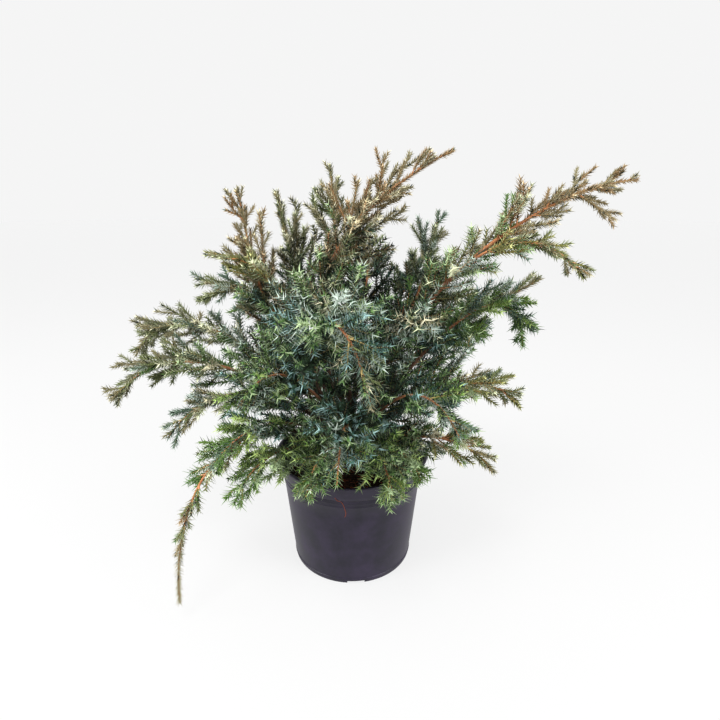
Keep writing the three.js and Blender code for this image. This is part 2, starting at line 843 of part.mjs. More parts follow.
// Each limb is cut back to clear the stem and the limbs made before it, as a fork grows.
const grownStem = stemSolid(CLEAR);
const grownBoughs = [];
LIMBS.filter((limb) => limb.bare > 0).forEach((limb) => {
  const cut = grownBoughs.reduce(
    (bough, other) => bough.subtract(other),
    boughSolid(limb, 0).subtract(grownStem),
  );
  plant.add(bodyMesh(`bough_${limb.name}`, cut, COLOUR.bough, 0.8));
  grownBoughs.push(boughSolid(limb, CLEAR));
});

LIMBS.forEach((limb, index) => {
  const mass = foliageSolid(limb, index);
  const cut = limb.bare > 0 ? mass : grownBoughs.reduce(
    (rest, other) => rest.subtract(other),
    mass.subtract(grownStem),
  );
  plant.add(bodyMesh(`foliage_${limb.name}`, cut, COLOUR[limb.tint], 0.75));
});

export default plant;
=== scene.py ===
"""A young flaky juniper in its plastic nursery pot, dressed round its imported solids.

The growing rule works in millimetres and degrees, as the part's source does, and turns to
metres where a mesh is made. Azimuth 0 is the viewer's right and 90 is straight away from
the viewer.
"""

import math
from collections import namedtuple
from functools import lru_cache

import bmesh
import bpy
import numpy as np
from bpy.props import FloatProperty, FloatVectorProperty, IntProperty, PointerProperty
from bpy.types import Node, NodeSocket, Operator, Panel, PropertyGroup
from mathutils import Euler, Matrix, Vector, noise


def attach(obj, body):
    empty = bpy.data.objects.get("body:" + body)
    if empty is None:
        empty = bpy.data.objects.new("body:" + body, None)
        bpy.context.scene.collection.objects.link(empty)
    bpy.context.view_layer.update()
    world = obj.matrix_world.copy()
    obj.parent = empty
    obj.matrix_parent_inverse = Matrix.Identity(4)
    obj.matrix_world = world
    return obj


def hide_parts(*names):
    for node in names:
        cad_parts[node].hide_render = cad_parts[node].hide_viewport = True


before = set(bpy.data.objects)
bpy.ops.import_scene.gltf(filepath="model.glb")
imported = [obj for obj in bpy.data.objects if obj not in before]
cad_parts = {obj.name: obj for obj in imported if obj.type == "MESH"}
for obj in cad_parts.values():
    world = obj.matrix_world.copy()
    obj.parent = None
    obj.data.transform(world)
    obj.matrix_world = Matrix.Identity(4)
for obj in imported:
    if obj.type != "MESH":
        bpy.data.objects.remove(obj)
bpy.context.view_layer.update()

bl_info = {
    "name": "Potted flaky juniper",
    "version": (1, 0, 0),
    "blender": (4, 5, 0),
    "location": "View3D > Sidebar > Juniper",
    "description": "Makes a young flaky juniper in its nursery pot, and the studio round it",
    "category": "Object",
}

MM = 0.001
BODY = "root"


def linear(colour):
    """The linear RGBA of an sRGB hex colour."""
    shares = [int(colour[i:i + 2], 16) / 255 for i in (1, 3, 5)]
    curve = [s / 12.92 if s <= 0.04045 else ((s + 0.055) / 1.055) ** 2.4 for s in shares]
    return (*curve, 1.0)


def feed(node, inputs):
    """Sets a node's inputs, in order or by name.

    Each input is a plain value, or the output or the node that feeds it.
    """
    for key, value in inputs.items() if isinstance(inputs, dict) else enumerate(inputs):
        if isinstance(value, Node):
            value = value.outputs[0]
        if isinstance(value, NodeSocket):
            node.id_data.links.new(value, node.inputs[key])
        else:
            node.inputs[key].default_value = value


def add_node(tree, kind, inputs=(), stops=(), **settings):
    """Adds a node with its settings and links, and a ramp's stops of place and colour."""
    node = tree.nodes.new(kind)
    for name, value in settings.items():
        setattr(node, name, value)
    for number, (place, colour) in enumerate(stops):
        ramp = node.color_ramp.elements
        stop = ramp[number] if number < len(ramp) else ramp.new(place)
        stop.position = place
        stop.color = colour
    feed(node, inputs)
    return node


# Sizes and colours that a user would change


def colour_setting(name, description, colour):
    return FloatVectorProperty(
        name=name, description=description, subtype="COLOR", size=4, min=0, max=1,
        default=linear(colour),
    )


def length_setting(name, description, length, least, most):
    """A length that is given in millimetres."""
    return FloatProperty(
        name=name, description=description, subtype="DISTANCE", unit="LENGTH",
        default=length * MM, min=least * MM, max=most * MM,
    )


class PotSettings(PropertyGroup):
    """The nursery pot."""

    plastic: colour_setting("Plastic", "Colour of the moulded plastic", "#120d22")
    scuffs: colour_setting("Scuffs", "Colour of the dust and scuffs on it", "#30263f")
    segments: IntProperty(
        name="Segments", description="Facets round the pot", default=144, min=48, max=256,
    )


class SoilSettings(PropertyGroup):
    """The potting soil."""

    dark: colour_setting("Wet peat", "Darkest colour of the soil", "#1a100b")
    pale: colour_setting("Dry crumbs", "Palest colour of the soil", "#6b452c")
    fibre: colour_setting("Fibres", "Colour of the coir fibres", "#a8552c")
    crumb: length_setting("Crumb", "Size of a large crumb", 3.2, 0.5, 8)


class BarkSettings(PropertyGroup):
    """The bark of the stem and the limbs."""

    old: colour_setting("Old bark", "Colour of the bark near the soil", "#5a463a")
    young: colour_setting("Young bark", "Colour of the bark along the limbs", "#b4805c")
    relief: length_setting("Relief", "How far the flakes stand out", 0.5, 0, 2)


class FoliageSettings(PropertyGroup):
    """The shoots and their needles."""

    needle: length_setting("Needle", "Length of the longest needles", 13, 2, 16)
    width: length_setting("Needle width", "Width of a needle at its foot", 1.45, 0.5, 3)
    whorl: length_setting("Whorl spacing", "Distance from whorl to whorl", 2.1, 1, 6)


class StageSettings(PropertyGroup):
    """The studio."""

    floor: colour_setting("Floor", "Colour of the floor", "#595959")
    lens: FloatProperty(
        name="Lens", description="Focal length of the camera", subtype="DISTANCE_CAMERA",
        default=24.9, min=10, max=120,
    )


# Growing rule: the one that the solids grow by, carried on to finer twigs

SOIL_TOP = 122
STEM_HEIGHT = 62
STEM_FOOT = 8.5  # radius at the soil
STEM_TOP = 4.5  # radius at the fork
POT_HEIGHT = 143
POT_RIM = 95  # radius
POT_MOUTH = 84.8  # radius of the pot's opening at the soil
POT_MARGIN = 3  # between the foliage and the pot or the soil
GROUND_MARGIN = 3  # between the foliage and the ground
SPACE_MARGIN = 1.0  # how much nearer its own limb a shoot lies than any other
ROOT_REACH = 4  # how far from the stem's axis a limb's curve starts
TIP_GIRTH = 0.7  # radius of a limb at its tip
SKELETON_STEPS = 14
LENGTH_STEPS = 200
STEEP = 0.9  # upward part of a direction that counts as upright
TURN_SIDEWAYS = -0.3  # draws the shoots round a limb towards its two sides
TRIALS = (1, 0.86, 0.74, 0.62, 0.5, 0.4, 0.3)  # what doesn't fit is tried shorter
FITTED_AT = (0.5, 0.75, 1)  # where along a shoot its space is looked at

Rule = namedtuple("Rule", "pitch turn lean lean_play first_gap play tip_length bend shortest")
SHOOT_RULE = Rule(24, 137.5, 50, 14, 7, 0.5, 0.24, 0.3, 8)
INNER_RULE = Rule(7, 137.5, 56, 20, 0, 0.6, 1.0, 0.3, 9)  # on the shaded foot of a limb
TWIGLET_RULE = Rule(13, 137.5, 48, 16, 6, 0.5, 0.5, 0.3, 4)
SHOOTS_PER_SPRAY = 5  # shoots in the place of each spray that the solids have
STEP_PLAY = 0.6  # how far a shoot strays along its limb, as a share of the pitch
LEAN_FORWARD = 14  # how much less a shoot leans at its limb's tip
INNER_FROM = 0.25  # where the inner shoots start, as a share of the bare stretch
INNER_SHARE = 0.7  # their length as a share of the limb's longest
TWIGLET_SHARE = 0.55  # a twiglet's length as a share of its shoot's
TWIGLET_LONGEST = 20
TWIGLET_PAST_TIP = 9  # how far a twiglet reaches past the tip of its shoot
TWIGLET_TIP_PITCH = 6  # pitch of the twiglets on the shoots at a limb's tip
OWN_SHADE = 0.8  # share of the twiglets that have a shade of their own
# How slowly the shoots of a kind of foliage get shorter along a limb
TAPER = {"bronze": 1, "olive": 1, "silver": 1, "blue": 1, "sea": 1.2, "fresh": 1.3}
# How many of its shoots a kind keeps near its limbs' tips, and how closely its needles lie
# forward there, both from 0 to 1
TIP_FULLNESS = {
    "bronze": 0.55, "olive": 0.45, "silver": 0.5, "blue": 0.5, "sea": 0.6, "fresh": 0.8,
}
TIP_PRESSED = {
    "bronze": 1, "olive": 0.85, "silver": 0.85, "blue": 0.7, "sea": 0.35, "fresh": 0.15,
}

# What a draw is for. The place of a word in this row is a part of the draw's seed.
USES = (
    "shoot turn", "shoot step", "shoot lean", "shoot length", "twiglet step", "twiglet turn",
    "twiglet lean", "twiglet length", "bark", "twig shade", "needle shade", "shade border",
    "fullness", "own shade", "dark to the tip",
)
SCATTER = (12.9898, 78.233, 37.719, 4.1)  # as in the part's source
SCATTER_SIZE = 43758.5453
# Where the numbers start of the extra shoots, the inner shoots and the spires of a limb
EXTRA_NUMBERS = 100
INNER_NUMBERS = 1000
SPIRE_NUMBERS = 900
LIMB_SEED = 31
TWIGLET_PARTS = 7  # twiglets with shades of their own to a whole number

# A limb's root is its height up the stem, and leave and arrive are the azimuth and elevation
# at its two ends. tip is its azimuth, reach and height. bare is the share without needles.
# spread is the length of its longest shoots. A spire is a long side shoot: its place along
# the limb, azimuth, elevation and length.
Limb = namedtuple(
    "Limb", "name root leave tip arrive bow girth bare spread tint spires", defaults=[()],
)
LIMBS = [Limb(*row) for row in (
    # Crown
    ("crown_leader", 54, (160, 66), (10, 112, 493), (0, 28), 0.5, 3.6, 0.27, 62, "bronze",
     ((0.66, 140, 58, 58), (0.78, 50, 76, 50), (0.6, 0, 28, 82), (0.5, 10, 20, 80))),
    ("crown_spire", 52, (112, 80), (112, 65, 479), (120, 82), 0.42, 3.0, 0.27, 68, "silver",
     ((0.72, 170, 62, 62),)),
    ("crown_left_spire", 48, (150, 68), (146, 106, 450), (140, 76), 0.42, 3.0, 0.25, 65, "silver",
     ((0.6, 30, 74, 78), (0.68, 90, 84, 86))),
    ("crown_right_spire", 46, (50, 58), (42, 148, 426), (30, 84), 0.42, 2.8, 0.23, 65, "blue",
     ((0.8, 170, 76, 54),)),
    ("back", 44, (88, 66), (86, 200, 385), (100, 20), 0.4, 2.8, 0.25, 70, "blue"),
    # Upper left
    ("top_left_spire", 42, (167, 50), (167, 131, 454), (167, 84), 0.42, 3.0, 0.25, 65, "bronze",
     ((0.7, 180, 64, 50), (0.62, 90, 84, 98))),
    ("top_left_arm", 38, (176, 58), (184, 158, 387), (190, 8), 0.42, 2.6, 0.23, 62, "olive"),
    ("top_left_low", 33, (182, 62), (177, 170, 327), (180, -50), 0.42, 2.4, 0.23, 60, "blue"),
    # Right
    ("right_leader", 44, (16, 74), (-3, 297, 461), (18, 3), 0.35, 3.8, 0.29, 50, "bronze",
     ((0.68, 70, 72, 38), (0.8, 20, 48, 34), (0.84, 0, -32, 46))),
    ("right_under", 40, (-6, 72), (-13, 245, 366), (-1, -49), 0.46, 2.8, 0.27, 44, "olive"),
    ("right_mid", 36, (18, 62), (14, 242, 347), (10, 28), 0.45, 2.6, 0.25, 56, "blue",
     ((0.5, 10, 72, 56),)),
    ("right_nodding", 30, (0, 60), (3, 206, 274), (6, -82), 0.55, 2.4, 0.25, 46, "sea"),
    ("right_low", 24, (-24, 46), (-21, 192, 236), (-16, -35), 0.4, 2.2, 0.25, 50, "olive",
     ((0.55, 0, 56, 66),)),
    ("right_rim", 16, (-34, 34), (-30, 178, 163), (-26, -45), 0.4, 2.0, 0, 55, "olive"),
    ("rim_right_drop", 9, (-46, 38), (-50, 118, 150), (-50, -70), 0.42, 1.8, 0, 40, "fresh"),
    # Front
    ("front_high", 48, (-95, 74), (-93, 190, 346), (-90, -15), 0.42, 2.6, 0.29, 68, "silver"),
    ("front_nodding", 40, (-150, 50), (-86, 241, 307), (-20, -78), 0.48, 2.4, 0.29, 57, "blue"),
    ("front_right_high", 38, (-60, 66), (-57, 144, 328), (-50, 0), 0.4, 2.4, 0.27, 68, "blue"),
    ("front_left_mid", 30, (-122, 56), (-124, 180, 262), (-117, -40), 0.42, 2.2, 0, 65, "sea"),
    ("front_mid", 22, (-92, 46), (-93, 190, 208), (-94, -45), 0.42, 2.0, 0, 62, "sea"),
    ("front_right_mid", 26, (-58, 54), (-58, 188, 238), (-60, -45), 0.42, 2.0, 0, 62, "sea"),
    ("front_right_skirt", 10, (-76, 35), (-74, 156, 165), (-74, -55), 0.42, 1.8, 0, 52, "fresh"),
    ("front_left_skirt", 9, (-107, 35), (-107, 147, 164), (-107, -55), 0.42, 1.8, 0, 52, "fresh"),
    ("front_left_low", 15, (-142, 50), (-138, 186, 188), (-138, -45), 0.42, 2.0, 0, 56, "sea"),
    # Left
    ("left_skirt", 11, (-134, 38), (-132, 174, 150), (-132, -60), 0.42, 1.9, 0, 44, "fresh"),
    ("left_whip", 18, (-155, 40), (-145, 227, 26), (-145, -88), 0.65, 2.2, 0.36, 22, "bronze"),
    ("left_low", 23, (-168, 52), (-155, 212, 203), (-155, -52), 0.45, 2.2, 0, 50, "blue"),
    ("left_leader", 29, (-178, 45), (-172, 273, 226), (-168, -50), 0.42, 2.8, 0.27, 56, "silver"),
    ("left_mid", 34, (170, 50), (176, 265, 260), (178, -60), 0.42, 2.6, 0.25, 54, "silver"),
    # Back
    ("back_left", 34, (138, 50), (138, 222, 300), (138, -10), 0.4, 2.6, 0.25, 70, "sea"),
    ("back_right", 40, (60, 58), (60, 225, 368), (60, 25), 0.4, 2.6, 0.25, 70, "blue"),
    ("back_low_right", 24, (38, 42), (38, 250, 250), (38, -30), 0.4, 2.4, 0, 68, "sea"),
    ("back_low", 20, (86, 42), (86, 235, 225), (86, -35), 0.4, 2.2, 0, 68, "sea"),
    ("back_low_left", 22, (124, 42), (124, 240, 215), (124, -35), 0.4, 2.2, 0, 68, "fresh"),
    ("back_left_skirt", 11, (112, 36), (110, 158, 166), (110, -52), 0.42, 1.8, 0, 50, "fresh"),
    ("back_right_skirt", 10, (62, 36), (64, 160, 168), (64, -52), 0.42, 1.8, 0, 50, "sea"),
)]


def chance(owner, shoot, use):
    """The same number between 0 and 1 for the same owner, shoot and use, every time."""
    by_owner, by_shoot, by_use, start = SCATTER
    number = USES.index(use) + 1
    value = np.sin(owner * by_owner + shoot * by_shoot + number * by_use + start) * SCATTER_SIZE
    return value - np.floor(value)


def shoot_seed(owner, number):
    """The seed of a shoot's own draws."""
    return owner * LIMB_SEED + number


def mix(start, end, share):
    return start + (end - start) * share


def direction(azimuth, elevation):
    around, above = math.radians(azimuth), math.radians(elevation)
    level = math.cos(above)
    return np.array((level * math.cos(around), level * math.sin(around), math.sin(above)))


def unit(vectors):
    return vectors / np.linalg.norm(vectors, axis=-1, keepdims=True)


def limb_path(limb, shares):
    """Points and unit tangents along a limb's curve."""
    azimuth, reach, height = limb.tip
    start = direction(limb.leave[0], 0) * ROOT_REACH
    start[2] = SOIL_TOP + limb.root
    end = direction(azimuth, 0) * reach
    end[2] = height
    pull = np.linalg.norm(end - start) * limb.bow
    first = start + direction(*limb.leave) * pull
    second = end - direction(*limb.arrive) * pull
    s = np.asarray(shares, float)[:, None]
    points = ((1 - s) ** 3 * start + 3 * s * (1 - s) ** 2 * first
              + 3 * s * s * (1 - s) * second + s ** 3 * end)
    slopes = ((1 - s) ** 2 * (first - start) + 2 * s * (1 - s) * (second - first)
              + s * s * (end - second))
    return points, unit(slopes)


@lru_cache(maxsize=None)
def limb_length(index):
    points, _ = limb_path(LIMBS[index], np.linspace(0, 1, LENGTH_STEPS + 1))
    return float(np.linalg.norm(np.diff(points, axis=0), axis=1).sum())


def cross_directions(tangents):
    """Two directions across each tangent: level to its side, and up from it."""
    upright = np.abs(tangents[:, 2:]) >= STEEP
    seed = np.where(upright, np.array((1.0, 0, 0)), np.array((0, 0, 1.0)))
    side = unit(np.cross(tangents, seed))
    return side, np.cross(tangents, side)


@lru_cache(maxsize=None)
def skeleton(index):
    """Start and end points of the straight lines that stand for a limb."""
    limb = LIMBS[index]
    points, _ = limb_path(limb, np.linspace(0, 1, SKELETON_STEPS + 1))
    lines = list(zip(points[:-1], points[1:]))
    for share, azimuth, elevation, length in limb.spires:
        foot = limb_path(limb, [share])[0][0]
        lines.append((foot, foot + direction(azimuth, elevation) * length))
    return np.array(lines)


def distances_to_limb(points, index):
    lines = skeleton(index)
    start, along = lines[:, 0], lines[:, 1] - lines[:, 0]
    offset = points[:, None] - start
    share = np.clip((offset * along).sum(-1) / (along * along).sum(-1), 0, 1)
    return np.linalg.norm(offset - share[..., None] * along, axis=-1).min(axis=1)


def in_space(points, owner):
    """True where a point is clear of the pot and the stem and nearest to its own limb."""
    radius = np.hypot(points[:, 0], points[:, 1])
    floor = np.where(radius < POT_MOUTH - POT_MARGIN, SOIL_TOP, POT_HEIGHT)
    over = points[:, 2] > floor + POT_MARGIN
    beside = (radius > POT_RIM + POT_MARGIN) & (points[:, 2] > GROUND_MARGIN)
    above_stem = points[:, 2] > SOIL_TOP + STEM_HEIGHT + POT_MARGIN
    clear = (over | beside) & (above_stem | (radius > STEM_FOOT + POT_MARGIN))
    distances = np.stack([distances_to_limb(points, i) for i in range(len(LIMBS))], axis=1)
    rows = np.arange(len(points))
    own = distances[rows, owner].copy()
    distances[rows, owner] = np.inf
    return clear & (distances.min(axis=1) > own + SPACE_MARGIN)


# Shoots as arrays with a row each. place is 0 at the limb's first needles and 1 at its tip,
# and depth is where the shoot leaves the shoot that carries it.
Shoots = namedtuple("Shoots", "owner number place depth start heading towards length bend")


def shoot_points(shoots, shares):
    """Points and unit tangents along each shoot, as (shoot, share, axis)."""
    s = np.atleast_2d(shares)[..., None]
    length = shoots.length[:, None, None]
    turn = shoots.towards[:, None] * shoots.bend
    points = shoots.start[:, None] + (shoots.heading[:, None] + turn * s) * length * s
    return points, unit(shoots.heading[:, None] + 2 * turn * s)


def chosen(shoots, rows):
    return shoots._replace(**{
        name: getattr(shoots, name)[rows] for name in Shoots._fields if name != "bend"
    })


def fitted(shoots, shortest):
    """Each shoot at its full length, or shorter to stay in its limb's space, or left out."""
    length = np.zeros(len(shoots.owner))
    for trial in TRIALS:
        open_rows = np.flatnonzero((length == 0) & (shoots.length * trial >= shortest))
        if not len(open_rows):
            break
        tried = chosen(shoots, open_rows)
        tried = tried._replace(length=tried.length * trial)
        points, _ = shoot_points(tried, FITTED_AT)
        owners = np.repeat(tried.owner, points.shape[1])
        fits = in_space(points.reshape(-1, 3), owners).reshape(len(open_rows), -1).all(axis=1)
        length[open_rows[fits]] = tried.length[fits]
    return chosen(shoots._replace(length=length), length > 0)


def headings(tangents, turns, leans):
    """Headings that lean off the tangents, drawn towards their two sides."""
    side, up = cross_directions(tangents)
    around = np.radians(turns)
    around = (around + TURN_SIDEWAYS * np.sin(2 * around))[:, None]
    lean = np.radians(leans)[:, None]
    across = side * np.cos(around) + up * np.sin(around)
    return tangents * np.cos(lean) + across * np.sin(lean)


def played(rule, seed, number, place, kind):
    """How far each shoot leans, and its play in length as a factor."""
    lean_play = rule.lean_play * (chance(seed, number, f"{kind} lean") - 0.5)
    length_play = rule.play * (chance(seed, number, f"{kind} length") - 0.5)
    return rule.lean - LEAN_FORWARD * place + lean_play, 1 + length_play


def shoots_between(index, rule, first, last, per_spray, spread):
    """Side shoots on a stretch of a limb, several in the place of each spray of the rule."""
    limb, total = LIMBS[index], limb_length(index)
    count = int(total * (last - first) / rule.pitch)
    spray, extra = np.divmod(np.arange(count * per_spray), per_spray)
    strayed = spray + STEP_PLAY * chance(index, spray, "shoot step") + extra / per_spray
    step = strayed / max(count, 1)
    number = spray + EXTRA_NUMBERS * extra + round(INNER_NUMBERS * (1 - last))
    share = mix(first, last, step)
    place = np.clip((share - limb.bare) / (1 - limb.bare), 0, 1)
    fullness = mix(1, TIP_FULLNESS[limb.tint], place)
    kept = (step < 1) & ((extra == 0) | (chance(index, number, "fullness") < fullness))
    spray, extra, step, number, share, place = (
        values[kept] for values in (spray, extra, step, number, share, place)
    )
    start, tangent = limb_path(limb, share)
    turns = 360 * chance(index, 0, "shoot turn") + rule.turn * spray + 360 * extra / per_spray
    leans, play = played(rule, index, number, place, "shoot")
    length = spread * mix(1, rule.tip_length, step ** TAPER[limb.tint]) * play
    return Shoots(
        owner=np.full(len(spray), index),
        number=number,
        place=place,
        depth=np.zeros(len(spray)),
        start=start,
        heading=headings(tangent, turns, leans),
        towards=tangent,
        length=np.minimum(length, (1 - share) * total),
        bend=rule.bend,
    )


def limb_shoots(index):
    """Side shoots along a limb. The first of each few is a spray of the solids."""
    limb = LIMBS[index]
    first = limb.bare + SHOOT_RULE.first_gap / limb_length(index)
    outer = shoots_between(index, SHOOT_RULE, first, 1, SHOOTS_PER_SPRAY, limb.spread)
    if limb.bare == 0:
        return outer
    inner = shoots_between(
        index, INNER_RULE, INNER_FROM * limb.bare, first, 1, INNER_SHARE * limb.spread,
    )
    return joined([outer, inner])


def limb_spires(index):
    """The long side shoots that a limb's row names."""
    limb = LIMBS[index]
    share, azimuth, elevation, length = np.array(limb.spires).T
    start, _ = limb_path(limb, share)
    return Shoots(
        owner=np.full(len(share), index),
        number=SPIRE_NUMBERS + np.arange(len(share)),
        place=(share - limb.bare) / (1 - limb.bare),
        depth=np.zeros(len(share)),
        start=start,
        heading=np.array([direction(*angles) for angles in zip(azimuth, elevation)]),
        towards=np.zeros((len(share), 3)),
        length=length,
        bend=0.0,
    )


def joined(groups):
    return groups[0]._replace(**{
        name: np.concatenate([getattr(group, name) for group in groups])
        for name in Shoots._fields if name != "bend"
    })


@lru_cache(maxsize=None)
def side_shoots():
    everything = range(len(LIMBS))
    spires = joined([limb_spires(i) for i in everything if LIMBS[i].spires])
    shoots = joined([limb_shoots(i) for i in everything])
    shoots = fitted(shoots, SHOOT_RULE.shortest)
    # A spire is straight, so its forward bend is none whichever bend it is joined with.
    return joined([shoots, spires._replace(bend=shoots.bend)])


@lru_cache(maxsize=None)
def twiglets():
    """Small shoots along every side shoot, by the same rule."""
    shoots, rule = side_shoots(), TWIGLET_RULE
    first = rule.first_gap / shoots.length
    pitch = mix(rule.pitch, TWIGLET_TIP_PITCH, shoots.place)
    counts = (shoots.length * (1 - first) / pitch).astype(int)
    parent = np.repeat(np.arange(len(counts)), counts)
    number = np.arange(len(parent)) - np.repeat(np.cumsum(counts) - counts, counts)
    seed = shoot_seed(shoots.owner, shoots.number)[parent]
    step = (number + STEP_PLAY * chance(seed, number, "twiglet step")) / counts[parent]
    share = mix(first[parent], 1, step)
    own = chosen(shoots, parent)
    turn = own.towards * own.bend
    reach = (own.length * share)[:, None]
    start = own.start + (own.heading + turn * share[:, None]) * reach
    tangent = unit(own.heading + 2 * turn * share[:, None])
    turns = 360 * chance(seed, 0, "twiglet turn") + rule.turn * number
    leans, play = played(rule, seed, number, own.place, "twiglet")
    longest = np.minimum(TWIGLET_SHARE * own.length, TWIGLET_LONGEST)
    longest = np.minimum(longest, (1 - share) * own.length + TWIGLET_PAST_TIP)
    alone = chance(seed, number, "own shade") < OWN_SHADE
    return fitted(Shoots(
        owner=own.owner,
        number=own.number + np.where(alone, (number + 1) / TWIGLET_PARTS, 0),
        place=own.place,
        depth=share,
        start=start,
        heading=headings(tangent, turns, leans),
        towards=tangent,
        length=longest * mix(1, rule.tip_length, step * step) * play,
        bend=rule.bend,
    ), rule.shortest)


# Meshes

# The angle in degrees from which an edge is sharp
POT_CREASE = 32
SOIL_CREASE = 60
BARK_CREASE = 60
TWIG_CREASE = 75
INDEX_MARGIN = 0.25  # how far a stored material number may be from a whole one


def new_piece(name, mesh):
    piece = bpy.data.objects.new(name, mesh)
    bpy.context.scene.collection.objects.link(piece)
    return piece


def evaluated_mesh(piece):
    graph = bpy.context.evaluated_depsgraph_get()
    return bpy.data.meshes.new_from_object(piece.evaluated_get(graph))


def smooth_by_angle(mesh, degrees):
    mesh.shade_smooth()
    mesh.set_sharp_from_angle(angle=math.radians(degrees))


def path_mesh(name, paths):
    """A mesh of edges along paths. Each path is its points in mm and its named numbers."""
    points, edges, numbers, at = [], [], {}, 0
    for block, named in paths:
        rows, steps = block.shape[:2]
        first = at + np.arange(rows)[:, None] * steps + np.arange(steps - 1)
        edges.append(np.stack([first, first + 1], axis=-1).reshape(-1, 2))
        points.append(block.reshape(-1, 3))
        at += rows * steps
        for key, value in named.items():
            numbers.setdefault(key, []).append(np.broadcast_to(value, (rows, steps)).ravel())
    points, edges = np.concatenate(points) * MM, np.concatenate(edges)
    mesh = bpy.data.meshes.new(name)
    mesh.vertices.add(len(points))
    mesh.vertices.foreach_set("co", points.ravel())
    mesh.edges.add(len(edges))
    mesh.edges.foreach_set("vertices", edges.ravel())
    for key, values in numbers.items():
        layer = mesh.attributes.new(key, "FLOAT", "POINT")
        layer.data.foreach_set("value", np.concatenate(values).astype(np.float32))
    return mesh


def made_by_nodes(name, source, tree, inputs):
    """The piece whose plain mesh a node tree makes from a source mesh."""
    piece = new_piece(name, source)
    modifier = piece.modifiers.new(tree.name, "NODES")
    modifier.node_group = tree
    for item in tree.interface.items_tree:
        if item.name in inputs:
            modifier[item.identifier] = inputs[item.name]
    mesh = evaluated_mesh(piece)
    piece.modifiers.remove(modifier)
    piece.data = mesh
    mesh.name = name
    bpy.data.meshes.remove(source)
    return piece


def new_tree(name, values):
    """A geometry node tree with named number inputs, and the outputs of its input node."""
    tree = bpy.data.node_groups.new(name, "GeometryNodeTree")
    tree.interface.new_socket("Geometry", in_out="INPUT", socket_type="NodeSocketGeometry")
    for socket, value in values.items():
        kind = "NodeSocketInt" if isinstance(value, int) else "NodeSocketFloat"
        made = tree.interface.new_socket(socket, in_out="INPUT", socket_type=kind)
        made.default_value = value
    tree.interface.new_socket("Geometry", in_out="OUTPUT", socket_type="NodeSocketGeometry")
    return tree, add_node(tree, "NodeGroupInput").outputs


def end_tree(tree, geometry, materials, index=None):
    """Ends a tree in Realize Instances and a Set Material for each material it deals out."""
    geometry = add_node(tree, "GeometryNodeRealizeInstances", [geometry])
    for number, material in enumerate(materials):
        inputs = {"Geometry": geometry, "Material": material}
        if index is not None:
            inputs["Selection"] = add_node(tree, "FunctionNodeCompare", {
                0: index, 1: float(number), "Epsilon": INDEX_MARGIN,
            }, data_type="FLOAT", operation="EQUAL")
        geometry = add_node(tree, "GeometryNodeSetMaterial", inputs)
    add_node(tree, "NodeGroupOutput", [geometry])


# Node trees for twigs, bark and needles

FLAKE_SCALE = 1.6
FLAKE_EDGES = (0.42, 0.58)  # where a flake's edge starts and ends in the noise
FLAKE_HEIGHTS = (-0.4, 0.6)  # as shares of the relief
YOUNG_SHORTER = -0.45  # how much shorter a young whorl's needles are
YOUNG_BROADER = 0.6
TURN_PLAY = (-0.35, 0.35)
LEAN_PLAY = (-0.16, 0.2)
LENGTH_PLAY = (0.78, 1.12)
NEEDLE_SEAT = 0.6  # where a needle is set, as a share of its twig's radius
# The section of a needle is a flat triangle, and its two radii are shares of the breadth
AWL_DEPTH = 0.34
AWL_WIDTH = 0.577
AWL_BACK = -0.3  # least outward part of the normal of a face of the keeled back


def twig_tree(name, materials):
    """Sweeps a round section along each path, and deals out the shades of twig."""
    tree, inputs = new_tree(name, {"Sides": 4})
    girth, shade = (
        add_node(tree, "GeometryNodeInputNamedAttribute", {"Name": attribute})
        for attribute in ("girth", "shade")
    )
    curve = add_node(tree, "GeometryNodeMeshToCurve", [inputs["Geometry"]])
    ring = add_node(tree, "GeometryNodeCurvePrimitiveCircle", {
        "Resolution": inputs["Sides"], "Radius": 1.0,
    })
    tube = add_node(tree, "GeometryNodeCurveToMesh", {
        "Curve": curve, "Profile Curve": ring, "Scale": girth, "Fill Caps": True,
    })
    end_tree(tree, tube, materials, shade)
    return tree


def place_on_bark(tree, turn, along, flakes_round, flake_length):
    """A place on a limb for a solid pattern that closes round the limb, in flakes."""
    angle = add_node(tree, "ShaderNodeMath", [turn, math.tau], operation="MULTIPLY")
    around = []
    for wave in ("COSINE", "SINE"):
        side = add_node(tree, "ShaderNodeMath", [angle], operation=wave)
        around.append(
            add_node(tree, "ShaderNodeMath", [side, flakes_round], operation="MULTIPLY")
        )
    lengthwise = add_node(tree, "ShaderNodeMath", [along, flake_length], operation="DIVIDE")
    return add_node(tree, "ShaderNodeCombineXYZ", [*around, lengthwise])


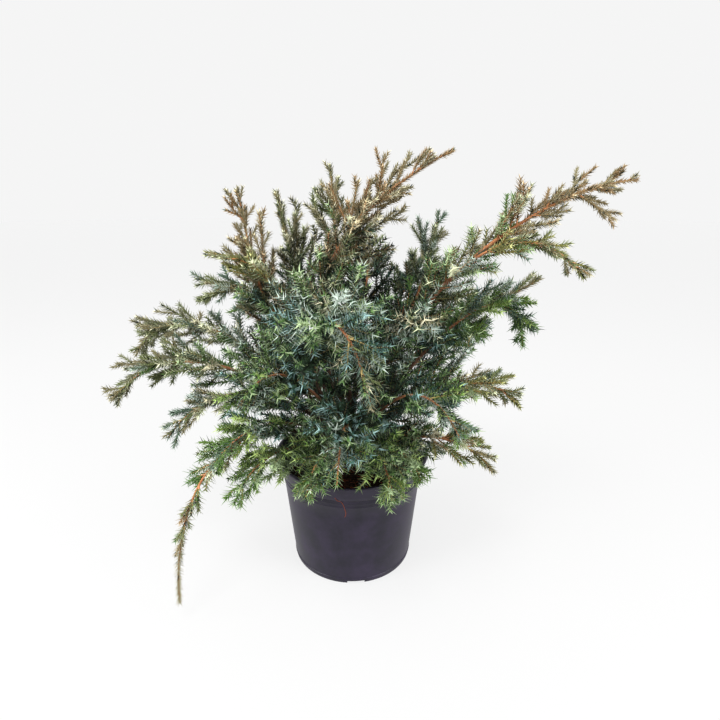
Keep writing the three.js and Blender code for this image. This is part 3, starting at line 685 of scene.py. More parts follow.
def bark_tree(name, material):
    """Sweeps a section along each path and lifts long flakes out of it.

    turn and along stay on the mesh, for the bark's material.
    """
    tree, inputs = new_tree(name, {
        "Sides": 10, "Relief": 0.4 * MM, "Flake length": 14 * MM, "Flakes round": 1.6,
    })
    girth, turn, along, roll, age = (
        add_node(tree, "GeometryNodeInputNamedAttribute", {"Name": attribute})
        for attribute in ("girth", "turn", "along", "roll", "age")
    )
    parameter = add_node(tree, "GeometryNodeSplineParameter").outputs
    curve = add_node(tree, "GeometryNodeMeshToCurve", [inputs["Geometry"]])
    curve = add_node(tree, "GeometryNodeStoreNamedAttribute", {
        "Geometry": curve, "Name": "along", "Value": parameter["Length"],
    }, data_type="FLOAT", domain="POINT")
    ring = add_node(tree, "GeometryNodeCurvePrimitiveCircle", {
        "Resolution": inputs["Sides"], "Radius": 1.0,
    })
    ring = add_node(tree, "GeometryNodeStoreNamedAttribute", {
        "Geometry": ring, "Name": "turn", "Value": parameter["Factor"],
    }, data_type="FLOAT", domain="POINT")
    tube = add_node(tree, "GeometryNodeCurveToMesh", {
        "Curve": curve, "Profile Curve": ring, "Scale": girth, "Fill Caps": True,
    })
    place = place_on_bark(tree, turn, along, inputs["Flakes round"], inputs["Flake length"])
    flakes = add_node(tree, "ShaderNodeTexNoise", {
        "Vector": place, "W": roll, "Scale": FLAKE_SCALE, "Detail": 3.0, "Roughness": 0.6,
    }, noise_dimensions="4D")
    height = add_node(tree, "ShaderNodeMapRange", [
        flakes, *FLAKE_EDGES, *FLAKE_HEIGHTS,
    ], interpolation_type="SMOOTHSTEP")
    for share in (inputs["Relief"], age):
        height = add_node(tree, "ShaderNodeMath", [height, share], operation="MULTIPLY")
    offset = add_node(tree, "ShaderNodeVectorMath", {
        0: add_node(tree, "GeometryNodeInputNormal"), "Scale": height,
    }, operation="SCALE")
    tube = add_node(tree, "GeometryNodeSetPosition", {"Geometry": tube, "Offset": offset})
    end_tree(tree, tube, [material])
    return tree


def needle_tree(name, materials):
    """Sets whorls of awl-shaped needles along each path.

    A needle has four faces. Its flat upper face looks at the shoot and has a material of its
    own, so each shade has two materials in turn: its upper face and its keeled back. Where a
    shoot is young, every second whorl is of short, broad needles, and inside the crown's heart
    their upper faces have the material of the back too, as painted shade. A needle whose light
    draw falls under its dark share has the shaded shade, which is painted shade.
    """
    tree, inputs = new_tree(name, {"Needles in a whorl": 3, "Seed": 5})
    values = {
        attribute: add_node(tree, "GeometryNodeInputNamedAttribute", {"Name": attribute})
        for attribute in (
            "spacing", "length", "breadth", "lean", "girth", "shade", "young", "bloomless",
            "dark share", "back",
        )
    }
    curve = add_node(tree, "GeometryNodeMeshToCurve", [inputs["Geometry"]])
    along = add_node(tree, "GeometryNodeCurveToPoints", {
        "Curve": curve, "Length": values["spacing"],
    }, mode="LENGTH").outputs
    each = add_node(tree, "GeometryNodeDuplicateElements", {
        "Geometry": along["Points"], "Amount": inputs["Needles in a whorl"],
    }, domain="POINT").outputs
    awl = add_node(tree, "GeometryNodeMeshCone", {
        "Vertices": 3, "Side Segments": 1, "Radius Top": 0.0, "Radius Bottom": 1.0,
        "Depth": 1.0,
    }, fill_type="NGON")
    normal = add_node(tree, "GeometryNodeInputNormal")
    values.update({
        "needle": add_node(tree, "GeometryNodeInputIndex"),
        "needle of whorl": each["Duplicate Index"],
        "needles": inputs["Needles in a whorl"],
        "facing": add_node(tree, "ShaderNodeSeparateXYZ", [normal]),
    })
    plays = (
        ("turn play", TURN_PLAY), ("lean play", LEAN_PLAY), ("length play", LENGTH_PLAY),
        ("light", (0.0, 1.0)),
    )
    for number, (play, (least, most)) in enumerate(plays, 1):
        seed = add_node(tree, "ShaderNodeMath", [inputs["Seed"], number], operation="ADD")
        values[play] = add_node(tree, "FunctionNodeRandomValue", {
            2: least, 3: most, 8: seed,
        }, data_type="FLOAT").outputs[1]
    # Each row is a result, its operation and its terms.
    for result, operation, *terms in (
        ("whorl", "DIVIDE", "needle", "needles"),
        ("whorl", "FLOOR", "whorl"),
        ("step", "DIVIDE", math.tau, "needles"),
        ("turn", "MULTIPLY_ADD", "whorl", 0.5, "needle of whorl"),
        ("turn", "MULTIPLY", "turn", "step"),
        ("turn", "ADD", "turn", "turn play"),
        ("lean", "ADD", "lean", "lean play"),
        ("second", "FLOORED_MODULO", "whorl", 2.0),
        ("second", "LESS_THAN", "second", 0.5),
        ("young", "MULTIPLY", "second", "young"),
        ("young length", "MULTIPLY_ADD", "young", YOUNG_SHORTER, 1.0),
        ("length", "MULTIPLY", "length", "length play"),
        ("length", "MULTIPLY", "length", "young length"),
        ("young breadth", "MULTIPLY_ADD", "young", YOUNG_BROADER, 1.0),
        ("breadth", "MULTIPLY", "breadth", "young breadth"),
        ("depth", "MULTIPLY", "breadth", AWL_DEPTH),
        ("width", "MULTIPLY", "breadth", AWL_WIDTH),
        ("seat", "MULTIPLY", "girth", NEEDLE_SEAT),
        # a needle whose light draw is under its dark share takes shade 0, the painted shade
        ("lit", "GREATER_THAN", "light", "dark share"),
        ("lit shade", "MULTIPLY", "shade", "lit"),
        # inside the heart a young whorl's upper faces take the back's colour, as painted shade
        ("painted dim whorl", "MULTIPLY", "young", "bloomless"),
        ("faces out", "GREATER_THAN", "facing", AWL_BACK),
        ("back of its shade", "MAXIMUM", "back", "bloomless"),
        ("material", "MULTIPLY_ADD", "shade", 2.0, "back of its shade"),
    ):
        values[result] = add_node(
            tree, "ShaderNodeMath", [values.get(term, term) for term in terms],
            operation=operation,
        )
    rotation = along["Rotation"]
    rotations = []
    for axis, angle in (((0, 0, 1), values["turn"]), ((0, 1, 0), values["lean"])):
        turned = add_node(tree, "FunctionNodeAxisAngleToRotation", [axis, angle])
        rotation = add_node(tree, "FunctionNodeRotateRotation", [
            rotation, turned,
        ], rotation_space="LOCAL")
        rotations.append(rotation)
    out = add_node(tree, "FunctionNodeRotateVector", [
        add_node(tree, "ShaderNodeCombineXYZ", [values["seat"]]), rotations[0],
    ])
    points = add_node(tree, "GeometryNodeSetPosition", {
        "Geometry": each["Geometry"], "Offset": out,
    })
    for attribute, value in (("shade", "lit shade"), ("bloomless", "painted dim whorl")):
        points = add_node(tree, "GeometryNodeStoreNamedAttribute", {
            "Geometry": points, "Name": attribute, "Value": values[value],
        }, data_type="FLOAT", domain="POINT")
    awl = add_node(tree, "GeometryNodeStoreNamedAttribute", {
        "Geometry": awl, "Name": "back", "Value": values["faces out"],
    }, data_type="FLOAT", domain="FACE")
    size = add_node(tree, "ShaderNodeCombineXYZ", [
        values["depth"], values["width"], values["length"],
    ])
    needles = add_node(tree, "GeometryNodeInstanceOnPoints", {
        "Points": points, "Instance": awl, "Rotation": rotation, "Scale": size,
    })
    end_tree(tree, needles, materials, values["material"])
    return tree


# Materials


def new_material(name, inputs):
    """A material with plain values on its surface, its node tree and its surface's node."""
    material = bpy.data.materials.new(name)
    material.use_nodes = True
    surface = material.node_tree.nodes["Principled BSDF"]
    feed(surface, inputs)
    return material, material.node_tree, surface


# Colours of a needle's upper face, with its two bloom bands, and of its keeled back
NEEDLE_SHADES = {
    # shaded is a painted shade: dark green for needles inside the crown, where shade falls
    "shaded": ("#365136", "#122210"),
    "deep_blue": ("#96b2b0", "#4c7066"),
    "grey_blue": ("#b2beb4", "#687c6c"),
    "sea_green": ("#a8ba92", "#64844c"),
    "leaf_green": ("#a6ba76", "#6a8642"),
    "dusty": ("#c8ccae", "#767e58"),
    "silver": ("#d4d4bc", "#82846a"),
    "pewter": ("#ccc8ae", "#888266"),
    "olive": ("#c6c690", "#80824e"),
    "bronze": ("#d0c6a6", "#8e8264"),
    "fawn": ("#ccb898", "#8e7a5a"),
}

# Which shades a kind of foliage has near the stem and which near its tips
FOLIAGE_KINDS = {
    "blue": (("deep_blue", "grey_blue", "sea_green"), ("grey_blue", "dusty", "pewter")),
    "silver": (("grey_blue", "sea_green"), ("dusty", "silver", "pewter")),
    "sea": (("deep_blue", "sea_green"), ("sea_green", "leaf_green", "grey_blue")),
    "fresh": (("sea_green", "leaf_green"), ("leaf_green", "sea_green")),
    "olive": (("sea_green", "grey_blue"), ("olive", "pewter", "dusty")),
    "bronze": (("dusty", "sea_green"), ("pewter", "bronze", "fawn")),
}

# Sizes of the patterns in millimetres
DUST_CLOUD = 26.3
DUST_PATCH = 45.5
FLOW_MARK = 2.38  # from one mark to the next up the pot's wall
FLOW_LENGTH = 167
DROP_GAP = 10.53
MOULD_SKIN = 0.714
PEAT_CRUMB = 3.125
BARK_STRIP = 14.2857
FLOOR_GRAIN = 1.11

TWIG_SHADES = {
    "orange": "#cc966c",
    "russet": "#b0805a",
    "tan": "#b09c6c",
    "green_brown": "#84905a",
}


@lru_cache(maxsize=None)
def needle_material(shade, side):
    """Living juniper needle with a waxy bloom.

    The bloom scatters light at the surface, which reads as a pale satin film, so the sheen is
    stronger on the upper face than on the back. Plain colours, dealt out by spray. The shaded
    shade is painted shade for the inside of the crown.
    """
    upper = side == 0
    return new_material(f"{shade}_needle_{'upper' if upper else 'back'}", {
        "Base Color": linear(NEEDLE_SHADES[shade][side]),
        "Roughness": 0.55 if upper else 0.42,
        "IOR": 1.45,
        "Specular IOR Level": 0.45,
        "Sheen Weight": 0.2 if upper else 0.1,
        "Sheen Roughness": 0.5,
    })[0]


@lru_cache(maxsize=None)
def twig_material(shade):
    """Young juniper twig: smooth thin bark with a dull satin face."""
    return new_material(f"{shade}_twig_bark", {
        "Base Color": linear(TWIG_SHADES[shade]), "Roughness": 0.62, "IOR": 1.45,
    })[0]


def pot_material(settings):
    """Recycled polypropylene, injection moulded.

    A dark aubergine with a soft satin gloss, clouds of pale dust with dried drops in them,
    and flow marks that run round the wall. The moulded skin is drawn coarser than it is so
    that it shows.
    """
    material, tree, surface = new_material("moulded_polypropylene", {
        "IOR": 1.49, "Specular IOR Level": 0.7,
    })
    place = add_node(tree, "ShaderNodeTexCoord").outputs["Object"]
    dust = add_node(tree, "ShaderNodeTexNoise", {
        "Vector": place, "Scale": 1 / (DUST_CLOUD * MM), "Detail": 6.0, "Roughness": 0.62,
    })
    flow_size = Vector((FLOW_LENGTH, FLOW_LENGTH, FLOW_MARK)) * MM
    flat = add_node(tree, "ShaderNodeMapping", {
        "Vector": place, "Scale": [1 / size for size in flow_size],
    })
    flow = add_node(tree, "ShaderNodeTexNoise", {"Vector": flat, "Scale": 1.0, "Detail": 2.0})
    drops = add_node(tree, "ShaderNodeTexVoronoi", {
        "Vector": place, "Scale": 1 / (DROP_GAP * MM),
    })
    patches = add_node(tree, "ShaderNodeTexNoise", {
        "Vector": place, "Scale": 1 / (DUST_PATCH * MM), "Detail": 2.0,
    })
    skin = add_node(tree, "ShaderNodeTexNoise", {
        "Vector": place, "Scale": 1 / (MOULD_SKIN * MM), "Detail": 1.0,
    })
    white, black = linear("#ffffff"), linear("#000000")
    dusted, drop_mask, patch_mask = (
        add_node(tree, "ShaderNodeValToRGB", [pattern], stops)
        for pattern, stops in (
            (dust, ((0.38, settings.plastic), (0.72, settings.scuffs))),
            (drops, ((0.05, white), (0.12, black))),
            (patches, ((0.6, black), (0.68, white))),
        )
    )
    marks = add_node(tree, "ShaderNodeMath", [drop_mask, patch_mask], operation="MULTIPLY")
    colour = add_node(tree, "ShaderNodeMix", {
        "Factor": marks, 6: dusted, 7: linear("#14121a"),
    }, data_type="RGBA").outputs[2]
    gloss = add_node(tree, "ShaderNodeMapRange", {"Value": dust, "To Min": 0.3, "To Max": 0.5})
    height = add_node(tree, "ShaderNodeMath", [flow, skin], operation="ADD")
    bump = add_node(tree, "ShaderNodeBump", {
        "Height": height, "Strength": 0.25, "Distance": 0.12 * MM,
    })
    feed(surface, {"Base Color": colour, "Roughness": gloss, "Normal": bump})
    return material


def soil_material(settings):
    """Peat and bark compost: matt and crumbly, nearly black where wet and tan where dry."""
    material, tree, surface = new_material("peat_compost", {
        "Roughness": 0.95, "Specular IOR Level": 0.25,
    })
    place = add_node(tree, "ShaderNodeTexCoord").outputs["Object"]
    crumbs = add_node(tree, "ShaderNodeTexNoise", {
        "Vector": place, "Scale": 1 / (PEAT_CRUMB * MM), "Detail": 4.0,
        "Roughness": 0.7,
    })
    colour = add_node(tree, "ShaderNodeValToRGB", [crumbs], (
        (0.4, settings.dark), (0.56, linear("#3a2417")), (0.68, settings.pale),
    ))
    bump = add_node(tree, "ShaderNodeBump", {
        "Height": crumbs, "Strength": 0.8, "Distance": 0.8 * MM,
    })
    feed(surface, {"Base Color": colour, "Normal": bump})
    return material


def fibre_material(settings):
    """Coir fibre from the compost: wiry and dry, with a dull sheen and a foxy red colour."""
    return new_material("coir_fibre", {
        "Base Color": tuple(settings.fibre), "Roughness": 0.6,
    })[0]


def bark_material(settings):
    """Juniper bark that peels in thin lengthwise flakes.

    Old bark is grey-brown with pale curled edges over a rusty inner bark; young bark on the
    limbs is a clear orange-brown. age, along, turn and roll come from the sweep.
    """
    material, tree, surface = new_material("flaking_juniper_bark", {
        "Roughness": 0.78, "Specular IOR Level": 0.3,
    })
    age, along, turn, roll = (
        add_node(tree, "ShaderNodeAttribute", attribute_name=name).outputs["Fac"]
        for name in ("age", "along", "turn", "roll")
    )
    place = place_on_bark(tree, turn, along, 1.0, BARK_STRIP * MM)
    strips = add_node(tree, "ShaderNodeTexNoise", {
        "Vector": place, "W": roll, "Scale": 2.6, "Detail": 4.0, "Roughness": 0.65,
    }, noise_dimensions="4D")
    young, old = (
        add_node(tree, "ShaderNodeValToRGB", [strips], stops)
        for stops in (
            ((0.36, linear("#8a5238")), (0.5, settings.young), (0.7, linear("#c89470"))),
            ((0.36, linear("#33241e")), (0.5, settings.old), (0.66, linear("#8c7462"))),
        )
    )
    share = add_node(tree, "ShaderNodeMapRange", {
        "Value": age, "From Min": 0.35, "From Max": 0.7,
    })
    colour = add_node(tree, "ShaderNodeMix", {
        "Factor": share, 6: young, 7: old,
    }, data_type="RGBA").outputs[2]
    bump = add_node(tree, "ShaderNodeBump", {
        "Height": strips, "Strength": 0.7, "Distance": 0.5 * MM,
    })
    feed(surface, {"Base Color": colour, "Normal": bump})
    return material


def floor_material(settings):
    """Matt acrylic lit from below: pale and even, and it keeps only a faint shadow.

    Its grain is drawn coarser than it is so that it shows.
    """
    material, tree, surface = new_material("lit_acrylic", {
        "Roughness": 0.9, "Specular IOR Level": 0.1, "Base Color": tuple(settings.floor),
        "Emission Color": (1, 1, 1, 1), "Emission Strength": 0.8,
    })
    place = add_node(tree, "ShaderNodeTexCoord").outputs["Object"]
    grain = add_node(tree, "ShaderNodeTexNoise", {
        "Vector": place, "Scale": 1 / (FLOOR_GRAIN * MM),
    })
    bump = add_node(tree, "ShaderNodeBump", {
        "Height": grain, "Strength": 0.1, "Distance": 0.1 * MM,
    })
    feed(surface, {"Normal": bump})
    return material


# Pot

# Outlines as radius and height, from the middle of the bottom round the lip to the inside
POT_MIDDLE = (0, 1.2)
POT_OUTSIDE = (
    # The standing ring and the foot
    (66, 1.2), (67, 0.3), (68, 0), (73.2, 0), (74.2, 0.5), (74.8, 1.6), (75.1, 4.6),
    (75.6, 5.2), (75.7, 6.4), (75.2, 7.2),
    # The wall, with two faint rings under the collar
    (78.2, 36), (81.2, 66), (84.2, 96), (85.9, 112.6), (86.35, 113.2), (86.4, 114.2),
    (86.0, 115.0), (86.4, 117.8), (86.9, 118.4), (86.95, 119.4), (86.6, 120.2), (86.9, 122.8),
    # The flared collar
    (88.4, 123.5), (89.3, 124.6), (90.2, 129), (91.6, 134.5), (92.3, 137.6), (92.5, 138.8),
    # The rolled lip
    (93.4, 139.1), (94.5, 139.7), (95, 140.9), (94.9, 142), (94.2, 142.8), (93, 143),
    (91.8, 142.8), (91.0, 142.1),
)
POT_INSIDE = (
    (90.6, 140.6), (89.9, 136), (88.6, 129), (87.2, 125.2), (85.4, 122.6), (84.6, 118),
    (81.9, 92), (79.0, 62), (76.1, 33), (73.4, 9), (72.4, 7), (70.5, 6.2), (0, 6),
)
NOTCH_COUNT = 4
NOTCH_TURN = -86
NOTCH_REACH = (50, 78)
NOTCH_WIDTH = 21
NOTCH_HEIGHT = 3.5
HOLE_REACH = 60
HOLE_RADIUS = 6
HOLE_DEPTH = 24
HOLE_SEGMENTS = 32


def mesh_data(name, mesh):
    """The finished mesh of a bmesh, with its faces outward."""
    bmesh.ops.recalc_face_normals(mesh, faces=mesh.faces)
    data = bpy.data.meshes.new(name)
    mesh.to_mesh(data)
    mesh.free()
    return data


def lathe(name, outline, segments):
    """A closed mesh of revolution about Z from (radius, height) pairs in mm."""
    mesh = bmesh.new()
    angles = [math.tau * i / segments for i in range(segments)]
    rings = []
    for radius, height in outline:
        if radius == 0:
            rings.append([mesh.verts.new((0, 0, height * MM))] * segments)
        else:
            rings.append([mesh.verts.new((
                radius * MM * math.cos(a), radius * MM * math.sin(a), height * MM,
            )) for a in angles])
    for low, high in zip(rings, rings[1:]):
        for i in range(segments):
            j = (i + 1) % segments
            corners = (low[i], low[j], high[j], high[i])
            mesh.faces.new(list(dict.fromkeys(corners)))
    return mesh_data(name, mesh)


def notch_cutter(number):
    """The block that cuts a drain notch under the pot's wall."""
    mesh = bmesh.new()
    bmesh.ops.create_cube(mesh, size=1)
    near, far = NOTCH_REACH
    size = (far - near, NOTCH_WIDTH, 2 * NOTCH_HEIGHT)
    bmesh.ops.scale(mesh, vec=Vector(size) * MM, verts=mesh.verts)
    return drain_cutter(f"notch_{number}", mesh, (near + far) / 2, number)


def hole_cutter(number):
    """The round bar that cuts a drain hole through the pot's bottom."""
    mesh = bmesh.new()
    bmesh.ops.create_cone(
        mesh, cap_ends=True, segments=HOLE_SEGMENTS, radius1=HOLE_RADIUS * MM,
        radius2=HOLE_RADIUS * MM, depth=HOLE_DEPTH * MM,
    )
    return drain_cutter(f"hole_{number}", mesh, HOLE_REACH, number)


def drain_cutter(name, mesh, reach, number):
    """A cutter's piece, at its reach from the axis and its turn about it."""
    turn = math.radians(NOTCH_TURN + 360 / NOTCH_COUNT * number)
    place = Matrix.Rotation(turn, 4, "Z") @ Matrix.Translation((reach * MM, 0, 0))
    bmesh.ops.transform(mesh, matrix=place, verts=mesh.verts)
    return new_piece(name, mesh_data(name, mesh))


class JUNIPER_OT_pot(Operator):
    """Make the nursery pot, with its rolled lip, collar, drain notches and holes"""

    bl_idname = "juniper.pot"
    bl_label = "Pot"

    def execute(self, context):
        settings = context.scene.juniper_pot
        outline = (POT_MIDDLE, *POT_OUTSIDE, *POT_INSIDE)
        pot = new_piece("pot_shell", lathe("pot_shell", outline, settings.segments))
        for number in range(NOTCH_COUNT):
            for tool in (notch_cutter(number), hole_cutter(number)):
                cut = pot.modifiers.new(tool.name, "BOOLEAN")
                cut.operation, cut.solver, cut.object = "DIFFERENCE", "EXACT", tool
        mesh = evaluated_mesh(pot)
        tools = [modifier.object for modifier in pot.modifiers]
        pot.modifiers.clear()
        pot.data = mesh
        for tool in tools:
            bpy.data.objects.remove(tool)
        smooth_by_angle(mesh, POT_CREASE)
        mesh.materials.clear()
        mesh.materials.append(pot_material(settings))
        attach(pot, BODY)
        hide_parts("pot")
        return {"FINISHED"}


# Soil

SOIL_WALL = ((0, 7.6), (70.6, 7.6), (73.2, 36), (76.2, 66), (79.2, 96), (81.4, 119.2))
SOIL_RADIUS = SOIL_WALL[-1][0]
SOIL_RINGS = 42
SOIL_SEGMENTS = 132
SOIL_CROWN = 0.5  # how much higher than its mean level the soil is round the stem
SOIL_FALL = 2.2  # and how much lower at the wall
CLOD_HEIGHT = 0.9
CLOD_SCALE = 0.09
CLOD_DETAIL = (1.0, 2.1, 3)  # how the clods' noise falls off, gets finer and repeats
GRIT_SCALE = 0.45
GRIT_SHARE = 0.5
NOISE_ROW = 3  # where in the noise the soil is
TOP_LIFT = 1  # how far over the wall's end the flat top is made, before it gets its clods
LOOKS_UP = 0.4  # least upward part of the normal of a face that carries crumbs and fibres
CRUMB_SIZES = ((0.25, 0.25, 0.15), (1, 0.8, 0.6))  # the smallest and the largest
FIBRE_SIZES = (0.5, 1.3)
CRUMB_DENSITY = 60000.0  # on a square metre
FIBRE_DENSITY = 14000.0
# A fibre that clings to the front of the pot: azimuth and height of each point
STRAY_FIBRE = (
    (-101.4, 128.6), (-100.2, 125.4), (-99.4, 124.5), (-98.5, 123.5), (-97.8, 122.8),
    (-96.2, 119.6), (-95.3, 115.8), (-94.6, 111.4), (-94.0, 107.2), (-94.1, 103.6),
    (-94.9, 100.8),
)
STRAY_GIRTH = 0.22
STRAY_CLEAR = 0.25  # from the wall to the fibre's middle
WALL_HEIGHTS = (6, 141)  # between them the pot's outline only rises


def soil_height(radius, azimuth):
    """Height of the soil: flat round the stem, falling a little to the wall, with clods."""
    spot = Vector((radius * math.cos(azimuth), radius * math.sin(azimuth), NOISE_ROW))
    clods = noise.fractal(spot * CLOD_SCALE, *CLOD_DETAIL)
    clods += GRIT_SHARE * noise.noise(spot * GRIT_SCALE)
    fall = (radius / SOIL_RADIUS) ** 2
    return mix(SOIL_TOP + SOIL_CROWN, SOIL_TOP - SOIL_FALL, fall) + CLOD_HEIGHT * clods


def soil_mesh():
    """The closed bed of soil. Its top has clods."""
    wall_top = SOIL_WALL[-1][1]
    shares = [1 - ring / SOIL_RINGS for ring in range(1, SOIL_RINGS + 1)]
    top = tuple((SOIL_RADIUS * share, wall_top + TOP_LIFT) for share in shares)
    data = lathe("soil_bed", SOIL_WALL + top, SOIL_SEGMENTS)
    for vertex in data.vertices:
        if vertex.co.z > (wall_top + TOP_LIFT / 2) * MM:
            radius = math.hypot(vertex.co.x, vertex.co.y) / MM
            vertex.co.z = soil_height(radius, math.atan2(vertex.co.y, vertex.co.x)) * MM
    return data


def scattered(tree, inputs, shape, size, turns):
    """A shape at random places and turns on the faces that look up."""
    normal = add_node(tree, "GeometryNodeInputNormal")
    upward = add_node(tree, "ShaderNodeSeparateXYZ", [normal]).outputs["Z"]
    tops = add_node(tree, "ShaderNodeMath", [upward, LOOKS_UP], operation="GREATER_THAN")
    points = add_node(tree, "GeometryNodeDistributePointsOnFaces", {
        "Mesh": inputs["Geometry"], "Selection": tops, "Density": inputs["Density"],
        "Seed": inputs["Seed"],
    }, distribute_method="RANDOM")
    turn = add_node(tree, "FunctionNodeRandomValue", {
        0: turns[0], 1: turns[1], 8: inputs["Seed"],
    }, data_type="FLOAT_VECTOR")
    return add_node(tree, "GeometryNodeInstanceOnPoints", {
        "Points": points, "Instance": shape, "Scale": size, "Rotation": turn,
    })


def crumb_tree(material):
    """Scatters crumbs of peat and bark."""
    tree, inputs = new_tree("soil_crumbs", {
        "Crumb": 3 * MM, "Density": CRUMB_DENSITY, "Seed": 11,
    })
    crumb = add_node(tree, "GeometryNodeMeshIcoSphere", {"Radius": 0.5, "Subdivisions": 1})
    size = add_node(tree, "FunctionNodeRandomValue", {
        0: CRUMB_SIZES[0], 1: CRUMB_SIZES[1], 8: inputs["Seed"],
    }, data_type="FLOAT_VECTOR")
    size = add_node(tree, "ShaderNodeVectorMath", {
        0: size, "Scale": inputs["Crumb"],
    }, operation="SCALE")
    turns = ((0, 0, 0), (math.tau, math.tau, math.tau))
    end_tree(tree, scattered(tree, inputs, crumb, size, turns), [material])
    return tree


def fibre_tree(material):
    """Scatters bent fibres."""
    tree, inputs = new_tree("soil_fibres", {
        "Length": 12 * MM, "Density": FIBRE_DENSITY, "Seed": 4,
    })
    arc = add_node(tree, "GeometryNodeCurveArc", {
        "Resolution": 7, "Radius": 0.6, "Start Angle": 0.9, "Sweep Angle": 1.6,
    }, mode="RADIUS")
    ring = add_node(tree, "GeometryNodeCurvePrimitiveCircle", {
        "Resolution": 3, "Radius": 0.022,
    })
    fibre = add_node(tree, "GeometryNodeCurveToMesh", {
        "Curve": arc, "Profile Curve": ring, "Fill Caps": True,
    })
    fibre = add_node(tree, "GeometryNodeTransform", {
        "Geometry": fibre, "Translation": (0, -0.5, 0.08),
    })
    size = add_node(tree, "FunctionNodeRandomValue", {
        2: FIBRE_SIZES[0], 3: FIBRE_SIZES[1], 8: inputs["Seed"],
    }, data_type="FLOAT").outputs[1]
    size = add_node(tree, "ShaderNodeMath", [size, inputs["Length"]], operation="MULTIPLY")
    turns = ((-0.25, -0.25, 0), (0.35, 0.25, math.tau))
    end_tree(tree, scattered(tree, inputs, fibre, size, turns), [material])
    return tree


def stray_fibre_path():
    """The points of the fibre that clings to the pot, just clear of its wall."""
    low, high = WALL_HEIGHTS
    radii, heights = np.array([point for point in POT_OUTSIDE if low < point[1] < high]).T
    azimuth, height = np.array(STRAY_FIBRE).T
    radius = np.interp(height, heights, radii) + STRAY_CLEAR
    around = np.radians(azimuth)
    return np.stack([radius * np.cos(around), radius * np.sin(around), height], axis=-1)


class JUNIPER_OT_soil(Operator):
    """Make the bed of potting soil, its crumbs and its fibres"""

    bl_idname = "juniper.soil"
    bl_label = "Soil"

    def execute(self, context):
        settings = context.scene.juniper_soil
        peat, coir = soil_material(settings), fibre_material(settings)
        crumbs = made_by_nodes("soil_crumbs", soil_mesh(), crumb_tree(peat), {
            "Crumb": settings.crumb,
        })
        fibres = made_by_nodes("soil_fibres", soil_mesh(), fibre_tree(coir), {})
        bed = new_piece("soil_bed", soil_mesh())
        bed.data.materials.append(peat)
        smooth_by_angle(bed.data, SOIL_CREASE)
        path = path_mesh("stray_fibre", [(stray_fibre_path()[None], {
            "girth": STRAY_GIRTH * MM, "shade": 0,
        })])
        sweep = twig_tree("fibre_sweep", [coir])
        stray = made_by_nodes("stray_fibre", path, sweep, {"Sides": 6})
        for piece in (crumbs, fibres, bed, stray):
            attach(piece, BODY)
        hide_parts("potting_soil")
        return {"FINISHED"}


# Bark

STEM_RINGS = 60
STEM_SINKS = 1.5  # how far the stem goes on into the soil
ROOT_FLARE = 2.4
FLARE_FALL = 9
STEM_SWAY = ((0.8, 5), (0.6, 7))  # its sway along X and Y, and how often it turns
STEM_AGE = 1.6  # how strongly the stem's bark flakes, where 1 is a limb's foot
LIMB_AGES = (1.0, 0.12)  # at a limb's foot and from LIMB_YOUNG on
LIMB_YOUNG = 0.8
LIMB_RING_GAP = 2.6
STEM_ROLL = 3.7  # where in the noise the stem's flakes are, and over which range the limbs'
LIMB_ROLLS = 10
STEM_BARK = {"Sides": 24, "Flakes round": 2.4}
LIMB_BARK = {"Sides": 9}


def stem_path():
    share = np.linspace(0, 1, STEM_RINGS)
    height = mix(SOIL_TOP - STEM_SINKS, SOIL_TOP + STEM_HEIGHT, share)
    sway = [far * np.sin(share * often) * share for far, often in STEM_SWAY]
    girth = mix(STEM_FOOT, STEM_TOP, share) + ROOT_FLARE * np.exp(-share * FLARE_FALL)
    return np.stack([*sway, height], axis=-1)[None], {
        "girth": girth * MM, "age": STEM_AGE, "roll": STEM_ROLL,
    }


def limb_bark_path(index):
    limb = LIMBS[index]
    share = np.linspace(0, 1, int(limb_length(index) / LIMB_RING_GAP) + 1)
    points, _ = limb_path(limb, share)
    return points[None], {
        "girth": mix(limb.girth, TIP_GIRTH, share) * MM,
        "age": mix(*LIMB_AGES, np.clip(share / LIMB_YOUNG, 0, 1)),
        "roll": LIMB_ROLLS * chance(index, 0, "bark"),
    }


class JUNIPER_OT_bark(Operator):
    """Make the stem and the limbs, with their flaking bark"""

    bl_idname = "juniper.bark"
    bl_label = "Stem and limbs"

    def execute(self, context):
        settings = context.scene.juniper_bark
        tree = bark_tree("bark_sweep", bark_material(settings))
        limb_paths = [limb_bark_path(index) for index in range(len(LIMBS))]
        stem, limbs = (
            made_by_nodes(name, path_mesh(name, paths), tree, {
                "Relief": settings.relief, **inputs,
            })
            for name, paths, inputs in (
                ("stem_bark", [stem_path()], STEM_BARK), ("limb_bark", limb_paths, LIMB_BARK),
            )
        )
        for piece in (stem, limbs):
            smooth_by_angle(piece.data, BARK_CREASE)
            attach(piece, BODY)
        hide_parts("stem")
        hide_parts(*(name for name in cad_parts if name.startswith("bough_")))
        return {"FINISHED"}


# Twigs

TWIG_GIRTHS = {"side_shoots": (0.95, 0.4), "twiglets": (0.6, 0.35)}  # at the foot and the tip
TWIG_STEPS = {"side_shoots": 8, "twiglets": 3}
TWIG_SIDES = {"side_shoots": 4, "twiglets": 3}
WARM_KINDS = ("bronze", "olive")
WARM_SHADES = 2.6  # the warm kinds draw from the first shades of twig
COOL_SHADES = (2, 1.99)  # and the others from the last two


def twig_shade(shoots):
    """Which shade of twig each shoot has, by its limb's kind and a draw of its spray."""
    draw = chance(shoot_seed(shoots.owner, shoots.number), 1, "twig shade")
    warm = np.isin([LIMBS[owner].tint for owner in shoots.owner], WARM_KINDS)
    first, count = COOL_SHADES
    return np.where(warm, np.floor(draw * WARM_SHADES), np.floor(first + draw * count))


